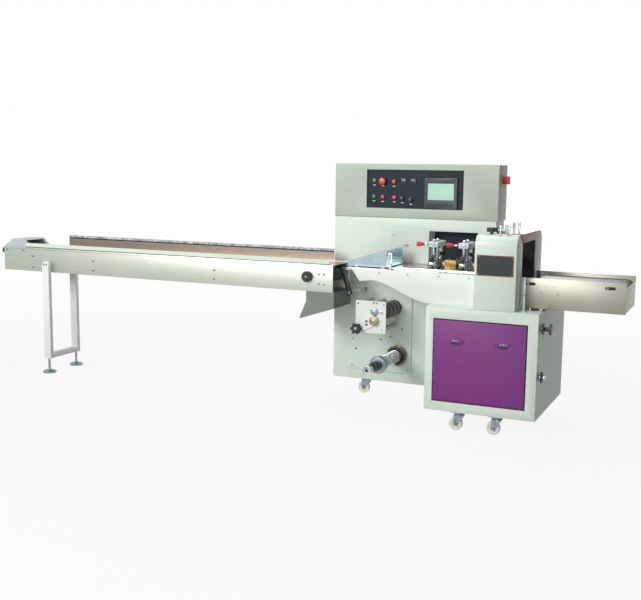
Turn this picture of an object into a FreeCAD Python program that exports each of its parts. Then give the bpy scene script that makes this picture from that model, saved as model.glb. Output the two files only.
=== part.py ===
"""Horizontal flow wrapper: one STEP file per named piece, in millimetres.

X runs along the line from the infeed tail to the discharge end, Y runs from the operator's front
face towards the back, and Z runs up from the floor.  The pieces are laid out from a line datum
(X = 0 at the left face of the electrical column, Y = 0 at the front face of the main cabinet) and
moved to the middle of the machine's footprint when they are written.
"""
import FreeCAD, Part

import math
import os

# ---------------------------------------------------------------- overall machine
MACHINE_HEIGHT = 1450.0
MACHINE_DEPTH = 712.0
LINE_Y = 290.0            # middle of the product lane
LINE_Z = 857.0            # top of the table and of the infeed skirts
CHASSIS_Z = 109.0         # underside of the cabinet and of the column
FIT_GAP = 0.3             # seating clearance between separate pieces

# ---------------------------------------------------------------- electrical column and box
COLUMN_FRONT = 524.0
COLUMN_WIDTH = 1019.0
BOX_WIDTH = 1027.0
BOX_HEIGHT = 323.0
COLUMN_BACK_STEP = 6.0    # the box stands this far behind and beside the column
COLUMN_SEAM_Z = MACHINE_HEIGHT - BOX_HEIGHT
BOX_EDGE_R = 6.0
POCKET_X = 617.0
POCKET_WIDTH = 298.0
POCKET_Z = 869.0
POCKET_HEIGHT = 185.0
POCKET_DEPTH = 110.0

PANEL_X = 208.0
PANEL_WIDTH = 610.0
PANEL_HEIGHT = 232.0
PANEL_DROP = 35.0         # from the top of the box to the top of the panel
PANEL_Z = MACHINE_HEIGHT - PANEL_DROP - PANEL_HEIGHT
PANEL_RECESS = 15.0
PANEL_PLATE = 3.0
PANEL_FIT = 1.0
SCREEN_DX = 370.0          # from the panel's left end
SCREEN_DZ = 5.0
SCREEN_X = PANEL_X + SCREEN_DX
SCREEN_WIDTH = 201.0
SCREEN_Z = PANEL_Z + SCREEN_DZ
SCREEN_HEIGHT = 181.0
SCREEN_THICKNESS = 10.0
SCREEN_EDGE_R = 8.0
GLASS_MARGIN_X = 20.0
GLASS_MARGIN_TOP = 32.0
GLASS_MARGIN_BOTTOM = 52.0
GLASS_SINK = 2.5
BUTTON_BEZEL_R = 15.0
BUTTON_BEZEL_H = 4.0
BUTTON_CAP_R = 11.5
BUTTON_CAP_H = 9.0
MUSHROOM_R = 22.0
MUSHROOM_H = 26.0
COUNTER_SIDE = 33.0
COUNTER_H = 6.0
SELECTOR_R = 17.0
SELECTOR_H = 20.0
# centres of the operator devices, from the panel's lower left corner: (x, z)
PUSH_BUTTON_PLACES = ((46.0, 165.0), (45.0, 69.0), (173.0, 160.0), (102.0, 67.0), (176.0, 66.0))
MUSHROOM_PLACE = (103.0, 162.0)
COUNTER_PLACES = ((236.0, 164.0), (298.0, 164.0))
SELECTOR_PLACES = ((228.0, 62.0), (283.0, 54.0))

SWITCH_Y = 608.5
SWITCH_DROP = 88.5         # from the top of the box
SWITCH_Z = MACHINE_HEIGHT - SWITCH_DROP
SWITCH_PLATE_WIDTH = 58.0
SWITCH_PLATE_HEIGHT = 80.0
SWITCH_PLATE_T = 5.0
SWITCH_DISC_R = 22.0
SWITCH_DISC_T = 16.0
SWITCH_GRIP_LENGTH = 46.0
SWITCH_GRIP_WIDTH = 13.0
SWITCH_GRIP_H = 22.0

GUARD_X = 372.0
GUARD_GAP_Z = 3.0
GUARD_T = 5.0
GUARD_TOP_Z = 1054.0
GUARD_CORNER_R = 34.0
GUARD_PULL_X = 464.0
GUARD_PULL_Z = 971.0
GUARD_PULL_STEM = 14.0
GUARD_PULL_STEM_R = 5.0
GUARD_PULL_LENGTH = 36.0
GUARD_PULL_BAR = 10.0
GUARD_PULL_BAR_T = 8.0
GUARD_PULL_STAND = 12.0

# ---------------------------------------------------------------- main cabinet
CABINET_X = 783.0
CABINET_WIDTH = 614.0
CABINET_TOP_Z = 685.0
CABINET_DEPTH = 710.0
CABINET_SHEET = 3.0
CABINET_FRONT_T = 22.0
DOOR_X = 832.0
DOOR_WIDTH = 505.0
DOOR_Z = 166.0
DOOR_HEIGHT = 450.0
DOOR_T = 18.0
DOOR_GAP = 5.5
DOOR_PROUD = 2.0
DOOR_PIN_R = 4.0
DOOR_PIN_DEPTH = 9.0
LATCH_WIDTH = 84.0
LATCH_HEIGHT = 34.0
LATCH_FLAT = 10.0         # height of the straight ends of the half-moon plate
LATCH_H = 3.0
LATCH_DOWN = 119.0
LATCH_SHARES = (0.255, 0.747)

SIDE_KNOB_Y = 52.0
SIDE_KNOB_UPPER_Z = 600.0
SIDE_KNOB_LOWER_Z = 342.0
SIDE_KNOB_R = 30.0
SIDE_KNOB_FLANGE = 11.0
SIDE_KNOB_SHAFT_R = 11.0
SIDE_KNOB_REACH = 60.0
SIDE_KNOB_LOWER_R = 28.0
SIDE_KNOB_LOWER_REACH = 34.0

CASTER_WHEEL_R = 38.0
CASTER_WHEEL_WIDTH = 26.0
CASTER_TRAIL = 18.0
CASTER_PLATE = 5.0
CASTER_PLATE_SIDE = 78.0
CASTER_FORK_T = 4.0
CASTER_FORK_GAP = 3.0
CASTER_CROWN_GAP = 5.0
CASTER_AXLE_R = 6.0
CASTER_AXLE_FIT = 0.05
CASTER_SWIVEL_R = 27.0
CASTER_SWIVEL_H = 16.0
CASTER_PLACES = ((975.0, 45.0), (1185.0, 45.0), (975.0, 655.0), (1185.0, 655.0), (196.0, 612.0))

# ---------------------------------------------------------------- work table and fascia
TABLE_X = 262.0
TABLE_FRONT = 93.0
TABLE_T = 12.0
TABLE_RIB = 8.0
TABLE_SLOT = 16.0
TABLE_SLOT_X = 560.0
TABLE_RIB_PLACES = (20.0, 221.0)    # from the cabinet's left face
TABLE_RIB_MARGIN = 20.0
TABLE_RIB_SLOT_GAP = 16.0
FASCIA_T = 3.0
FASCIA_PEAK_X = 430.0
FASCIA_PEAK_Z = 795.0
FASCIA_NOSE_X = 349.0
FASCIA_NOSE_Z = 785.0
FASCIA_TOE_X = 780.0
FASCIA_LEFT = 36.0        # from the table's left end to the fascia's upper corner
FASCIA_SWEEP = ((0.18, 0.07), (0.64, 0.65))    # shares of run and fall through which the edge sweeps

# ---------------------------------------------------------------- infeed conveyor
INFEED_X = -2360.0
INFEED_END_X = 150.0
INFEED_WIDTH = 252.0
SKIRT_HEIGHT = 163.0
SKIRT_T = 3.0
SKIRT_FLANGE = 26.0
BED_T = 3.0
INFEED_ARM_X = 36.0
INFEED_ARM_WIDTH = 84.0
INFEED_ARM_Z = 724.0
INFEED_ARM_HEIGHT = 90.0
INFEED_ARM_FLANGE = 10.0
BED_DROP = 2.0
CHAIN_SLOT = 20.0
RAIL_T = 3.0
RAIL_LIFT = 4.0
HOOD_RAIL_GAP = 2.0
FRONT_RAIL_END_X = 130.0
FRONT_RAIL_HEIGHT = 26.0
REAR_RAIL_X = -1995.0
REAR_RAIL_END_X = 46.0
REAR_RAIL_HEIGHT = 74.0
RAIL_FOOT = 40.0
RAIL_FEET = 7
INFEED_ROLLER_R = 45.0
INFEED_ROLLER_GROOVE = 7.0
INFEED_ROLLER_INSET = 52.0
INFEED_ROLLER_DROP = 62.0
CHAIN_T = 6.0
CHAIN_WIDTH = 12.0
COVER_LENGTH = 190.0
COVER_HEIGHT = 48.0
COVER_LEAN_LEFT = 35.0
COVER_LEAN_RIGHT = 50.0
COVER_LEAN_FRONT = 46.0
COVER_SHEET = 2.0
FRONT_RAIL_X = INFEED_X + COVER_LENGTH + HOOD_RAIL_GAP
TAIL_KNOB_R = 20.0
TAIL_KNOB_REACH = 34.0
TAIL_KNOB_DY = 34.0
TAIL_KNOB_DROP = 31.0
HANDWHEEL_X = -12.0
HANDWHEEL_Z = 782.0
HANDWHEEL_R = 33.0
HANDWHEEL_H = 26.0
CHUTE_X = -24.0
CHUTE_END_X = 157.0
CHUTE_LIP_X = -70.0
CHUTE_LIP_Z = 524.0
CHUTE_HEEL_Z = 599.0
CHUTE_SHEET = 2.5

STAND_X = -1978.0
STAND_TUBE_X = 54.0
STAND_TUBE_Y = 29.0
STAND_FOOT_Z = 100.0
STAND_TOP_Z = 771.0
STAND_BAR_H = 34.0
FOOT_R = 45.0
FOOT_PAD_H = 12.0
FOOT_DOME_H = 10.0
FOOT_STEM_R = 8.0

# ---------------------------------------------------------------- film unit
FILM_PLATE_X = 112.0
FILM_PLATE_END_X = 521.0
FILM_PLATE_Z = 173.0
FILM_PLATE_TOP_Z = 698.0
FILM_PLATE_T = 10.0
ROLLER_PLATE_X = 245.0
ROLLER_PLATE_Z = 450.0
ROLLER_PLATE_SIDE = 193.0
ROLLER_PLATE_T = 8.0
ROLLER_PLATE_FRONT = 292.0
ROLLER_PLATE_R = 6.0
SWING_ARM_T = 8.0
SWING_ARM_END = (50.0, 40.0, 27.0)     # x, z from the plate corner, radius
SWING_ARM_HEAD_R = 28.0
TIE_ROD_R = 8.0
TIE_ROD_INSET = 18.0
# x, z from the plate corner, radius, and the height that the disc stands on
THUMB_DISC_PLACES = ((120.0, 130.0, 22.0, 0.0), (121.0, 77.0, 28.0, SWING_ARM_T))
THUMB_DISC_T = 12.0
THUMB_DISC_NECK = 3.0
THUMB_DISC_NUT = 6.0
FEED_ROLLER_DX = 165.0
FEED_ROLLER_DZ = 130.0
FEED_ROLLER_R = 45.0
FEED_SHAFT_R = 9.0
GUIDE_ROLLER_DX = 168.0
GUIDE_ROLLER_DZ = 24.0
GUIDE_ROLLER_R = 14.0
GUIDE_SHAFT_R = 5.0
RUNNING_FIT = 0.05
ROLLER_END_GAP = 5.0
STAR_KNOB_DX = 14.0
STAR_KNOB_DZ = 24.0
STAR_KNOB_R = 34.0
STAR_KNOB_LOBES = 6
STAR_KNOB_H = 22.0
STAR_KNOB_NECK = 15.0
STAR_KNOB_NECK_R = 9.0
REEL_X = 437.0
REEL_Z = 286.0
REEL_HUB_R = 56.0
REEL_HUB_T = 14.0
REEL_FLANGE_R = 62.5
REEL_SLEEVE_R = 38.0
REEL_DISC_R = 52.0
REEL_COLLAR_R = 29.0
REEL_FRONT = 4.0
ARM_T = 6.0
ARM_FRONT = 30.0           # in front of the product lane
ARM_WIDTH = 32.0
ARM_HEAD_X = 150.0
ARM_HEAD_DROP = 17.0       # below the table's top
ARM_FOOT_X = 204.0
ARM_FOOT_DROP = 22.0       # below the film plate's top
ARM_FOOT_SLANT = 6.0
ARM_BAR_DX = 12.0
ARM_BAR_DROP = 13.0
ARM_BAR_R = 9.0
ARM_PIN_X = 172.0
ARM_PIN_DROP = 35.0
ARM_PIN_R = 7.0
ARM_PIN_LENGTH = 60.0

# ---------------------------------------------------------------- former and sealing units
FORMER_X = 246.0
FORMER_LENGTH = 241.0
FORMER_RISE = 100.0
FORMER_HALF_WIDTH = 130.0
FORMER_SHEET = 2.0
FORMER_LIFT = 6.0
BRACKET_X = 531.0
BRACKET_HEIGHT = 96.0
BRACKET_WIDTH = 22.0
BRACKET_T = 5.0
BRACKET_INSET = 2.0
BRACKET_FOOT = 34.0
BRACKET_SLOT = 7.0
BRACKET_SLOT_LOW = 22.0
BRACKET_SLOT_HIGH = 14.0
UNIT_X = (735.0, 912.0)
UNIT_WHEEL_R = 33.0
UNIT_WHEEL_H = 38.0
UNIT_WHEEL_NIP = 0.6
UNIT_SPINDLE_R = 7.0
UNIT_BRIDGE_Z = 985.0
UNIT_BRIDGE_H = 30.0
UNIT_BRIDGE_X = 56.0
UNIT_BASE_H = 6.0
UNIT_BASE_X = 74.0
UNIT_POST_R = 11.0
UNIT_POST_DY = 92.0
UNIT_SPRING_R = 13.0
UNIT_SPRING_WIRE = 3.0
UNIT_LEVER_R = 5.0
UNIT_LEVER_LENGTH = 36.0
UNIT_LEVER_INSET = 12.0
UNIT_GRIP_START = 22.0
UNIT_GRIP_PROFILE = ((0.0, 6.0), (32.0, 13.0), (44.0, 14.0), (48.0, 11.0))    # along, radius
UNIT_BASE_FRONT = 78.0
UNIT_BASE_REAR = 24.0
UNIT_BRIDGE_FRONT = 20.0
UNIT_BRIDGE_REAR = 18.0
UNIT_BRIDGE_R = 6.0
UNIT_SPINDLE_TOP = 16.0
UNIT_SPRING_COILS = 5
UNIT_SPRING_LIFT = 12.0
UNIT_SPRING_PITCH = 13.0
HEATER_X = 800.0
HEATER_LENGTH = 66.0
HEATER_WIDTH = 70.0
HEATER_HEIGHT = 56.0
TABLE_RAIL_H = 13.0
TABLE_RAIL_T = 6.0
TABLE_RAIL_PLACES = (14.0, 48.0)       # from the table's front edge
TABLE_RAIL_START = 40.0
TABLE_RAIL_END = 12.0

# ---------------------------------------------------------------- end-seal housing
SHELL_X = 1044.0
SHELL_LENGTH = 225.0
SHELL_TOP_Z = 1085.0
SHELL_FRONT_DEPTH = 131.0
SHELL_REAR_Y = 441.0
SHELL_BACK_MARGIN = 101.0    # from the rear cheek to the cabinet's back
SHELL_REAR_DEPTH = CABINET_DEPTH - SHELL_BACK_MARGIN - SHELL_REAR_Y
SHELL_ROUND_R = 62.0
SHELL_EDGE_R = 5.0
MOUTH_SILL_Z = 750.0
JAW_MEET_LIFT = 28.0      # the jaws meet this far above the table
GUARD_TOP_T = 3.0
GUARD_FRONT_Y = 60.0
GUARD_BACK_Y = 500.0
GUARD_DROP = 46.0
GUARD_TAPER = 84.0
GUARD_TOP_START = 90.0
GUARD_TOP_FRONT = 66.0
SHELL_POSTS = ((1165.0, 52.0, 50.0), (1186.0, 96.0, 52.0), (1213.0, 52.0, 52.0),
               (1226.0, 96.0, 70.0), (1254.0, 96.0, 70.0))      # x, y, height
SHELL_POST_R = 6.5
SHELL_KNOB_X = 1110.0
SHELL_KNOB_Y = 84.0
SHELL_KNOB_R = 34.0
SHELL_KNOB_LOBES = 3
JAW_SHAFT_R = 22.0
JAW_REACH = 52.0
JAW_WIDTH = 26.0
JAW_GAP = 5.0
PLATE_X = 1057.0
PLATE_WIDTH = 198.0
PLATE_Z = 869.0
PLATE_HEIGHT = 110.0
PLATE_T = 2.0

# ---------------------------------------------------------------- discharge conveyor
DISCHARGE_X = SHELL_X + SHELL_LENGTH + 29.0
DISCHARGE_LENGTH = 515.0
DISCHARGE_END_X = DISCHARGE_X + DISCHARGE_LENGTH
DISCHARGE_WIDTH = 376.0
DISCHARGE_Z = 698.0
DISCHARGE_HEIGHT = 163.0
DISCHARGE_SHEET = 3.0
DISCHARGE_FLANGE = 24.0
BELT_DROP = 20.0
BELT_T = 3.0
BELT_SIDE_GAP = 4.0
BELT_ROLLER_R = 34.0
DISCHARGE_POST_R = 9.0
DISCHARGE_POST_PLACES = (24.0, 82.0)     # from the conveyor's left end
STRIP_T = 3.0

# ---------------------------------------------------------------- derived places
FILM_PLATE_FRONT = COLUMN_FRONT - FILM_PLATE_T
MACHINE_X0 = INFEED_X - TAIL_KNOB_REACH - FIT_GAP
MACHINE_X1 = DISCHARGE_END_X
MACHINE_Y0 = -DOOR_PROUD - LATCH_H
ORIGIN_SHIFT = FreeCAD.Vector(-(MACHINE_X0 + MACHINE_X1) / 2, -(MACHINE_Y0 + MACHINE_DEPTH) / 2, 0)

X_AXIS = FreeCAD.Vector(1, 0, 0)
Y_AXIS = FreeCAD.Vector(0, 1, 0)
Z_AXIS = FreeCAD.Vector(0, 0, 1)


# ---------------------------------------------------------------- shape helpers
def box(x0, x1, y0, y1, z0, z1):
    """A block between two corners."""
    return Part.makeBox(x1 - x0, y1 - y0, z1 - z0, FreeCAD.Vector(x0, y0, z0))


def rod(x, y, z, axis, length, radius):
    """A round bar that starts at a point and runs along an axis."""
    return Part.makeCylinder(radius, length, FreeCAD.Vector(x, y, z), axis)


def ring(x, y, z, axis, length, outer, inner):
    """A round bar with a round bore."""
    return rod(x, y, z, axis, length, outer).cut(rod(x, y, z, axis, length, inner))


def prism_y(points, y0, y1):
    """An (x, z) outline that is extruded from y0 to y1."""
    corners = [FreeCAD.Vector(x, y0, z) for x, z in points]
    face = Part.Face(Part.makePolygon(corners + corners[:1]))
    return face.extrude(FreeCAD.Vector(0, y1 - y0, 0))


def prism_x(points, x0, x1):
    """A (y, z) outline that is extruded from x0 to x1."""
    corners = [FreeCAD.Vector(x0, y, z) for y, z in points]
    face = Part.Face(Part.makePolygon(corners + corners[:1]))
    return face.extrude(FreeCAD.Vector(x1 - x0, 0, 0))


def turned(profile, x, y, z, axis):
    """A turned piece: (distance along the axis, radius) pairs that are spun about the axis."""
    points = [FreeCAD.Vector(radius, 0, along) for along, radius in profile]
    points = [FreeCAD.Vector(0, 0, profile[0][0])] + points + [FreeCAD.Vector(0, 0, profile[-1][0])]
    face = Part.Face(Part.makePolygon(points + points[:1]))
    solid = face.revolve(FreeCAD.Vector(0, 0, 0), Z_AXIS, 360)
    solid.Placement = FreeCAD.Placement(FreeCAD.Vector(x, y, z), FreeCAD.Rotation(Z_AXIS, axis))
    return solid


def joined(shapes):
    """Several solids fused to one, with the seams removed."""
    result = shapes[0].fuse(list(shapes[1:])) if len(shapes) > 1 else shapes[0]
    return result.removeSplitter()


def runs_along(edge, axis):
    """Whether a straight edge lies along an axis."""
    if not isinstance(edge.Curve, Part.Line):
        return False
    return abs(abs(edge.Curve.Direction.dot(axis)) - 1) < 1e-6


def rounded(shape, axis, radius, keep=None):
    """Round the straight edges along an axis whose middle passes the keep test."""
    edges = []
    for edge in shape.Edges:
        middle = edge.CenterOfMass
        if runs_along(edge, axis) and (keep is None or keep(middle)):
            edges.append(edge)
    return shape.makeFillet(radius, edges)


def lobed_knob(x, y, z, axis, radius, height, lobes):
    """A grip with round lobes about a hub, standing on the point along the axis."""
    hub = Part.makeCylinder(radius * 0.72, height)
    lobe_r = radius * 0.30
    pieces = [hub]
    for index in range(lobes):
        angle = 2 * math.pi * index / lobes
        centre = FreeCAD.Vector((radius - lobe_r) * math.cos(angle), (radius - lobe_r) * math.sin(angle), 0)
        pieces.append(Part.makeCylinder(lobe_r, height, centre))
    knob = joined(pieces)
    top = [edge for edge in knob.Edges if edge.BoundBox.ZMin > height - 0.01]
    knob = knob.makeChamfer(min(2.0, height / 6), top)
    knob.Placement = FreeCAD.Placement(FreeCAD.Vector(x, y, z), FreeCAD.Rotation(Z_AXIS, axis))
    return knob


# ---------------------------------------------------------------- column and control box
def rear_body():
    """The tall electrical column: it stands behind the table and steps over the cabinet."""
    back = MACHINE_DEPTH - COLUMN_BACK_STEP
    outline = ((0, CHASSIS_Z), (CABINET_X - FIT_GAP, CHASSIS_Z), (CABINET_X - FIT_GAP, CABINET_TOP_Z),
               (COLUMN_WIDTH, CABINET_TOP_Z), (COLUMN_WIDTH, COLUMN_SEAM_Z), (0, COLUMN_SEAM_Z))
    body = prism_y(outline, COLUMN_FRONT, back)
    pocket = box(POCKET_X, POCKET_X + POCKET_WIDTH, COLUMN_FRONT - 1, COLUMN_FRONT + POCKET_DEPTH,
                 POCKET_Z, POCKET_Z + POCKET_HEIGHT)
    return body.cut(pocket)


def control_box():
    """The wider box on top of the column, with the recess for the control panel."""
    shell = box(0, BOX_WIDTH, COLUMN_FRONT, MACHINE_DEPTH, COLUMN_SEAM_Z, MACHINE_HEIGHT)
    shell = rounded(shell, Y_AXIS, BOX_EDGE_R, lambda p: p.z > MACHINE_HEIGHT - 1)
    recess = box(PANEL_X, PANEL_X + PANEL_WIDTH, COLUMN_FRONT - 1, COLUMN_FRONT + PANEL_RECESS,
                 PANEL_Z, PANEL_Z + PANEL_HEIGHT)
    return shell.cut(recess)


PANEL_FACE = COLUMN_FRONT + PANEL_RECESS - PANEL_PLATE


def control_panel():
    """The dark plate that closes the recess."""
    return box(PANEL_X + PANEL_FIT, PANEL_X + PANEL_WIDTH - PANEL_FIT, PANEL_FACE,
               PANEL_FACE + PANEL_PLATE, PANEL_Z + PANEL_FIT, PANEL_Z + PANEL_HEIGHT - PANEL_FIT)


def touch_screen():
    """The operator terminal: a rounded frame around a sunken glass."""
    front = PANEL_FACE - SCREEN_THICKNESS
    frame = box(SCREEN_X, SCREEN_X + SCREEN_WIDTH, front, PANEL_FACE, SCREEN_Z, SCREEN_Z + SCREEN_HEIGHT)
    frame = rounded(frame, Y_AXIS, SCREEN_EDGE_R)
    window = box(SCREEN_X + GLASS_MARGIN_X, SCREEN_X + SCREEN_WIDTH - GLASS_MARGIN_X, front - 1,
                 front + GLASS_SINK, SCREEN_Z + GLASS_MARGIN_BOTTOM,
                 SCREEN_Z + SCREEN_HEIGHT - GLASS_MARGIN_TOP)
    return frame.cut(window)


def panel_controls():
    """Round push buttons, the mushroom stop, two square counters and two rotary selectors."""
    buttons = []
    for dx, dz in PUSH_BUTTON_PLACES:
        profile = ((0, BUTTON_BEZEL_R), (BUTTON_BEZEL_H, BUTTON_BEZEL_R - 1),
                   (BUTTON_BEZEL_H, BUTTON_CAP_R), (BUTTON_CAP_H, BUTTON_CAP_R - 1))
        buttons.append(turned(profile, PANEL_X + dx, PANEL_FACE, PANEL_Z + dz, -Y_AXIS))
    profile = ((0, BUTTON_BEZEL_R), (BUTTON_BEZEL_H, BUTTON_BEZEL_R), (BUTTON_BEZEL_H, BUTTON_CAP_R),
               (MUSHROOM_H * 0.5, BUTTON_CAP_R), (MUSHROOM_H * 0.6, MUSHROOM_R),
               (MUSHROOM_H * 0.8, MUSHROOM_R), (MUSHROOM_H, MUSHROOM_R * 0.7))
    buttons.append(turned(profile, PANEL_X + MUSHROOM_PLACE[0], PANEL_FACE,
                          PANEL_Z + MUSHROOM_PLACE[1], -Y_AXIS))
    half = COUNTER_SIDE / 2
    for dx, dz in COUNTER_PLACES:
        x = PANEL_X + dx
        z = PANEL_Z + dz
        buttons.append(box(x - half, x + half, PANEL_FACE - COUNTER_H, PANEL_FACE, z - half, z + half))
    for dx, dz in SELECTOR_PLACES:
        x = PANEL_X + dx
        z = PANEL_Z + dz
        skirt = rod(x, PANEL_FACE - BUTTON_BEZEL_H, z, Y_AXIS, BUTTON_BEZEL_H, SELECTOR_R)
        cap = turned(((0, SELECTOR_R * 0.85), (SELECTOR_H, SELECTOR_R * 0.7)), x, PANEL_FACE, z, -Y_AXIS)
        buttons.append(joined([skirt, cap]))
    return Part.makeCompound(buttons)


def main_switch_plate():
    """The square plate of the main switch on the right side of the box."""
    half_y = SWITCH_PLATE_WIDTH / 2
    half_z = SWITCH_PLATE_HEIGHT / 2
    plate = box(BOX_WIDTH, BOX_WIDTH + SWITCH_PLATE_T, SWITCH_Y - half_y, SWITCH_Y + half_y,
                SWITCH_Z - half_z, SWITCH_Z + half_z)
    return rounded(plate, X_AXIS, 4)


def main_switch_handle():
    """The rotary handle: a disc with a raised bar grip."""
    x = BOX_WIDTH + SWITCH_PLATE_T + FIT_GAP
    disc = rod(x, SWITCH_Y, SWITCH_Z, X_AXIS, SWITCH_DISC_T, SWITCH_DISC_R)
    half_w = SWITCH_GRIP_WIDTH / 2
    half_l = SWITCH_GRIP_LENGTH / 2
    grip = box(x, x + SWITCH_DISC_T + SWITCH_GRIP_H, SWITCH_Y - half_w, SWITCH_Y + half_w,
               SWITCH_Z - half_l, SWITCH_Z + half_l)
    return joined([disc, rounded(grip, X_AXIS, half_w * 0.8)])


def column_guard():
    """The guard plate on the column beside the pocket, with its small pull."""
    z0 = LINE_Z + GUARD_GAP_Z
    plate = box(GUARD_X, POCKET_X - FIT_GAP, COLUMN_FRONT - GUARD_T, COLUMN_FRONT, z0, GUARD_TOP_Z)
    plate = rounded(plate, Y_AXIS, GUARD_CORNER_R,
                    lambda p: p.x < GUARD_X + 1 and p.z > GUARD_TOP_Z - 1)
    y = COLUMN_FRONT - GUARD_T
    stem = rod(GUARD_PULL_X, y, GUARD_PULL_Z, -Y_AXIS, GUARD_PULL_STEM, GUARD_PULL_STEM_R)
    half_x = GUARD_PULL_LENGTH / 2
    half_z = GUARD_PULL_BAR / 2
    bar = box(GUARD_PULL_X - half_x, GUARD_PULL_X + half_x, y - GUARD_PULL_STAND - GUARD_PULL_BAR_T,
              y - GUARD_PULL_STAND, GUARD_PULL_Z - half_z, GUARD_PULL_Z + half_z)
    return joined([plate, stem, bar])


# ---------------------------------------------------------------- cabinet
def cabinet_panels():
    """The hollow cabinet: floor, back, two sides and top as separate sheets, and the front frame."""
    x1 = CABINET_X + CABINET_WIDTH
    sheet = CABINET_SHEET
    gap = FIT_GAP
    y0 = CABINET_FRONT_T + gap
    low = CHASSIS_Z + sheet + gap
    high = CABINET_TOP_Z - sheet - gap
    panels = [
        box(CABINET_X, x1, y0, CABINET_DEPTH, CHASSIS_Z, CHASSIS_Z + sheet),
        box(CABINET_X, x1, 0, CABINET_DEPTH, CABINET_TOP_Z - sheet, CABINET_TOP_Z),
        box(CABINET_X, CABINET_X + sheet, y0, CABINET_DEPTH, low, high),
        box(x1 - sheet, x1, y0, CABINET_DEPTH, low, high),
        box(CABINET_X + sheet + gap, x1 - sheet - gap, CABINET_DEPTH - sheet, CABINET_DEPTH, low, high),
    ]
    return Part.makeCompound(panels)


DOOR_PIVOT_Y = DOOR_T / 2 - DOOR_PROUD
DOOR_PIVOT_Z = DOOR_Z + DOOR_T / 2


def cabinet_front():
    """The front frame around the door opening, bored for the door's two pivot pins."""
    x1 = CABINET_X + CABINET_WIDTH
    frame = box(CABINET_X, x1, 0, CABINET_FRONT_T, CHASSIS_Z, CABINET_TOP_Z - CABINET_SHEET - FIT_GAP)
    opening = box(DOOR_X - DOOR_GAP, DOOR_X + DOOR_WIDTH + DOOR_GAP, -1, CABINET_FRONT_T + 1,
                  DOOR_Z - DOOR_GAP, DOOR_Z + DOOR_HEIGHT + DOOR_GAP)
    reach = DOOR_GAP + DOOR_PIN_DEPTH + 1
    bore = rod(DOOR_X - reach, DOOR_PIVOT_Y, DOOR_PIVOT_Z, X_AXIS, DOOR_WIDTH + 2 * reach,
               DOOR_PIN_R + RUNNING_FIT)
    return frame.cut(opening).cut(bore)


def cabinet_door():
    """The purple drop door: its round lower edge turns about two pins in the front frame."""
    door = box(DOOR_X, DOOR_X + DOOR_WIDTH, -DOOR_PROUD, DOOR_T - DOOR_PROUD, DOOR_Z, DOOR_Z + DOOR_HEIGHT)
    door = rounded(door, X_AXIS, DOOR_T / 2 - 0.05, lambda p: p.z < DOOR_Z + 1)
    reach = DOOR_GAP + DOOR_PIN_DEPTH
    pin = rod(DOOR_X - reach, DOOR_PIVOT_Y, DOOR_PIVOT_Z, X_AXIS, DOOR_WIDTH + 2 * reach, DOOR_PIN_R)
    return joined([door, pin])


def door_latches():
    """Two half-moon latch plates near the top of the door, straight above and round below."""
    half = LATCH_WIDTH / 2
    middle = DOOR_Z + DOOR_HEIGHT - LATCH_DOWN
    top = middle + LATCH_HEIGHT / 2
    low = middle - LATCH_HEIGHT / 2
    shoulder = top - LATCH_FLAT
    face_y = -DOOR_PROUD - LATCH_H
    latches = []
    for share in LATCH_SHARES:
        x = DOOR_X + DOOR_WIDTH * share
        left = FreeCAD.Vector(x - half, face_y, shoulder)
        right = FreeCAD.Vector(x + half, face_y, shoulder)
        bow = Part.Arc(left, FreeCAD.Vector(x, face_y, low), right).toShape()
        corner_right = FreeCAD.Vector(x + half, face_y, top)
        corner_left = FreeCAD.Vector(x - half, face_y, top)
        edges = [bow, Part.makeLine(right, corner_right), Part.makeLine(corner_right, corner_left),
                 Part.makeLine(corner_left, left)]
        latches.append(Part.Face(Part.Wire(edges)).extrude(FreeCAD.Vector(0, LATCH_H, 0)))
    return Part.makeCompound(latches)


def side_knob(z, reach, radius, flanges):
    """A hand knob on the cabinet's right side: black flanges on a bright shaft."""
    x = CABINET_X + CABINET_WIDTH + FIT_GAP
    if flanges == 2:
        profile = ((0, SIDE_KNOB_SHAFT_R + 4), (4, SIDE_KNOB_SHAFT_R + 4), (4, SIDE_KNOB_SHAFT_R),
                   (10, SIDE_KNOB_SHAFT_R), (10, radius), (10 + SIDE_KNOB_FLANGE, radius),
                   (10 + SIDE_KNOB_FLANGE, SIDE_KNOB_SHAFT_R),
                   (reach - SIDE_KNOB_FLANGE, SIDE_KNOB_SHAFT_R), (reach - SIDE_KNOB_FLANGE, radius),
                   (reach, radius))
    else:
        profile = ((0, SIDE_KNOB_SHAFT_R + 4), (6, SIDE_KNOB_SHAFT_R + 4), (6, SIDE_KNOB_SHAFT_R),
                   (12, SIDE_KNOB_SHAFT_R), (12, radius), (12 + SIDE_KNOB_FLANGE, radius),
                   (12 + SIDE_KNOB_FLANGE, SIDE_KNOB_SHAFT_R + 3), (reach, SIDE_KNOB_SHAFT_R))
    return turned(profile, x, SIDE_KNOB_Y, z, X_AXIS)


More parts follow.
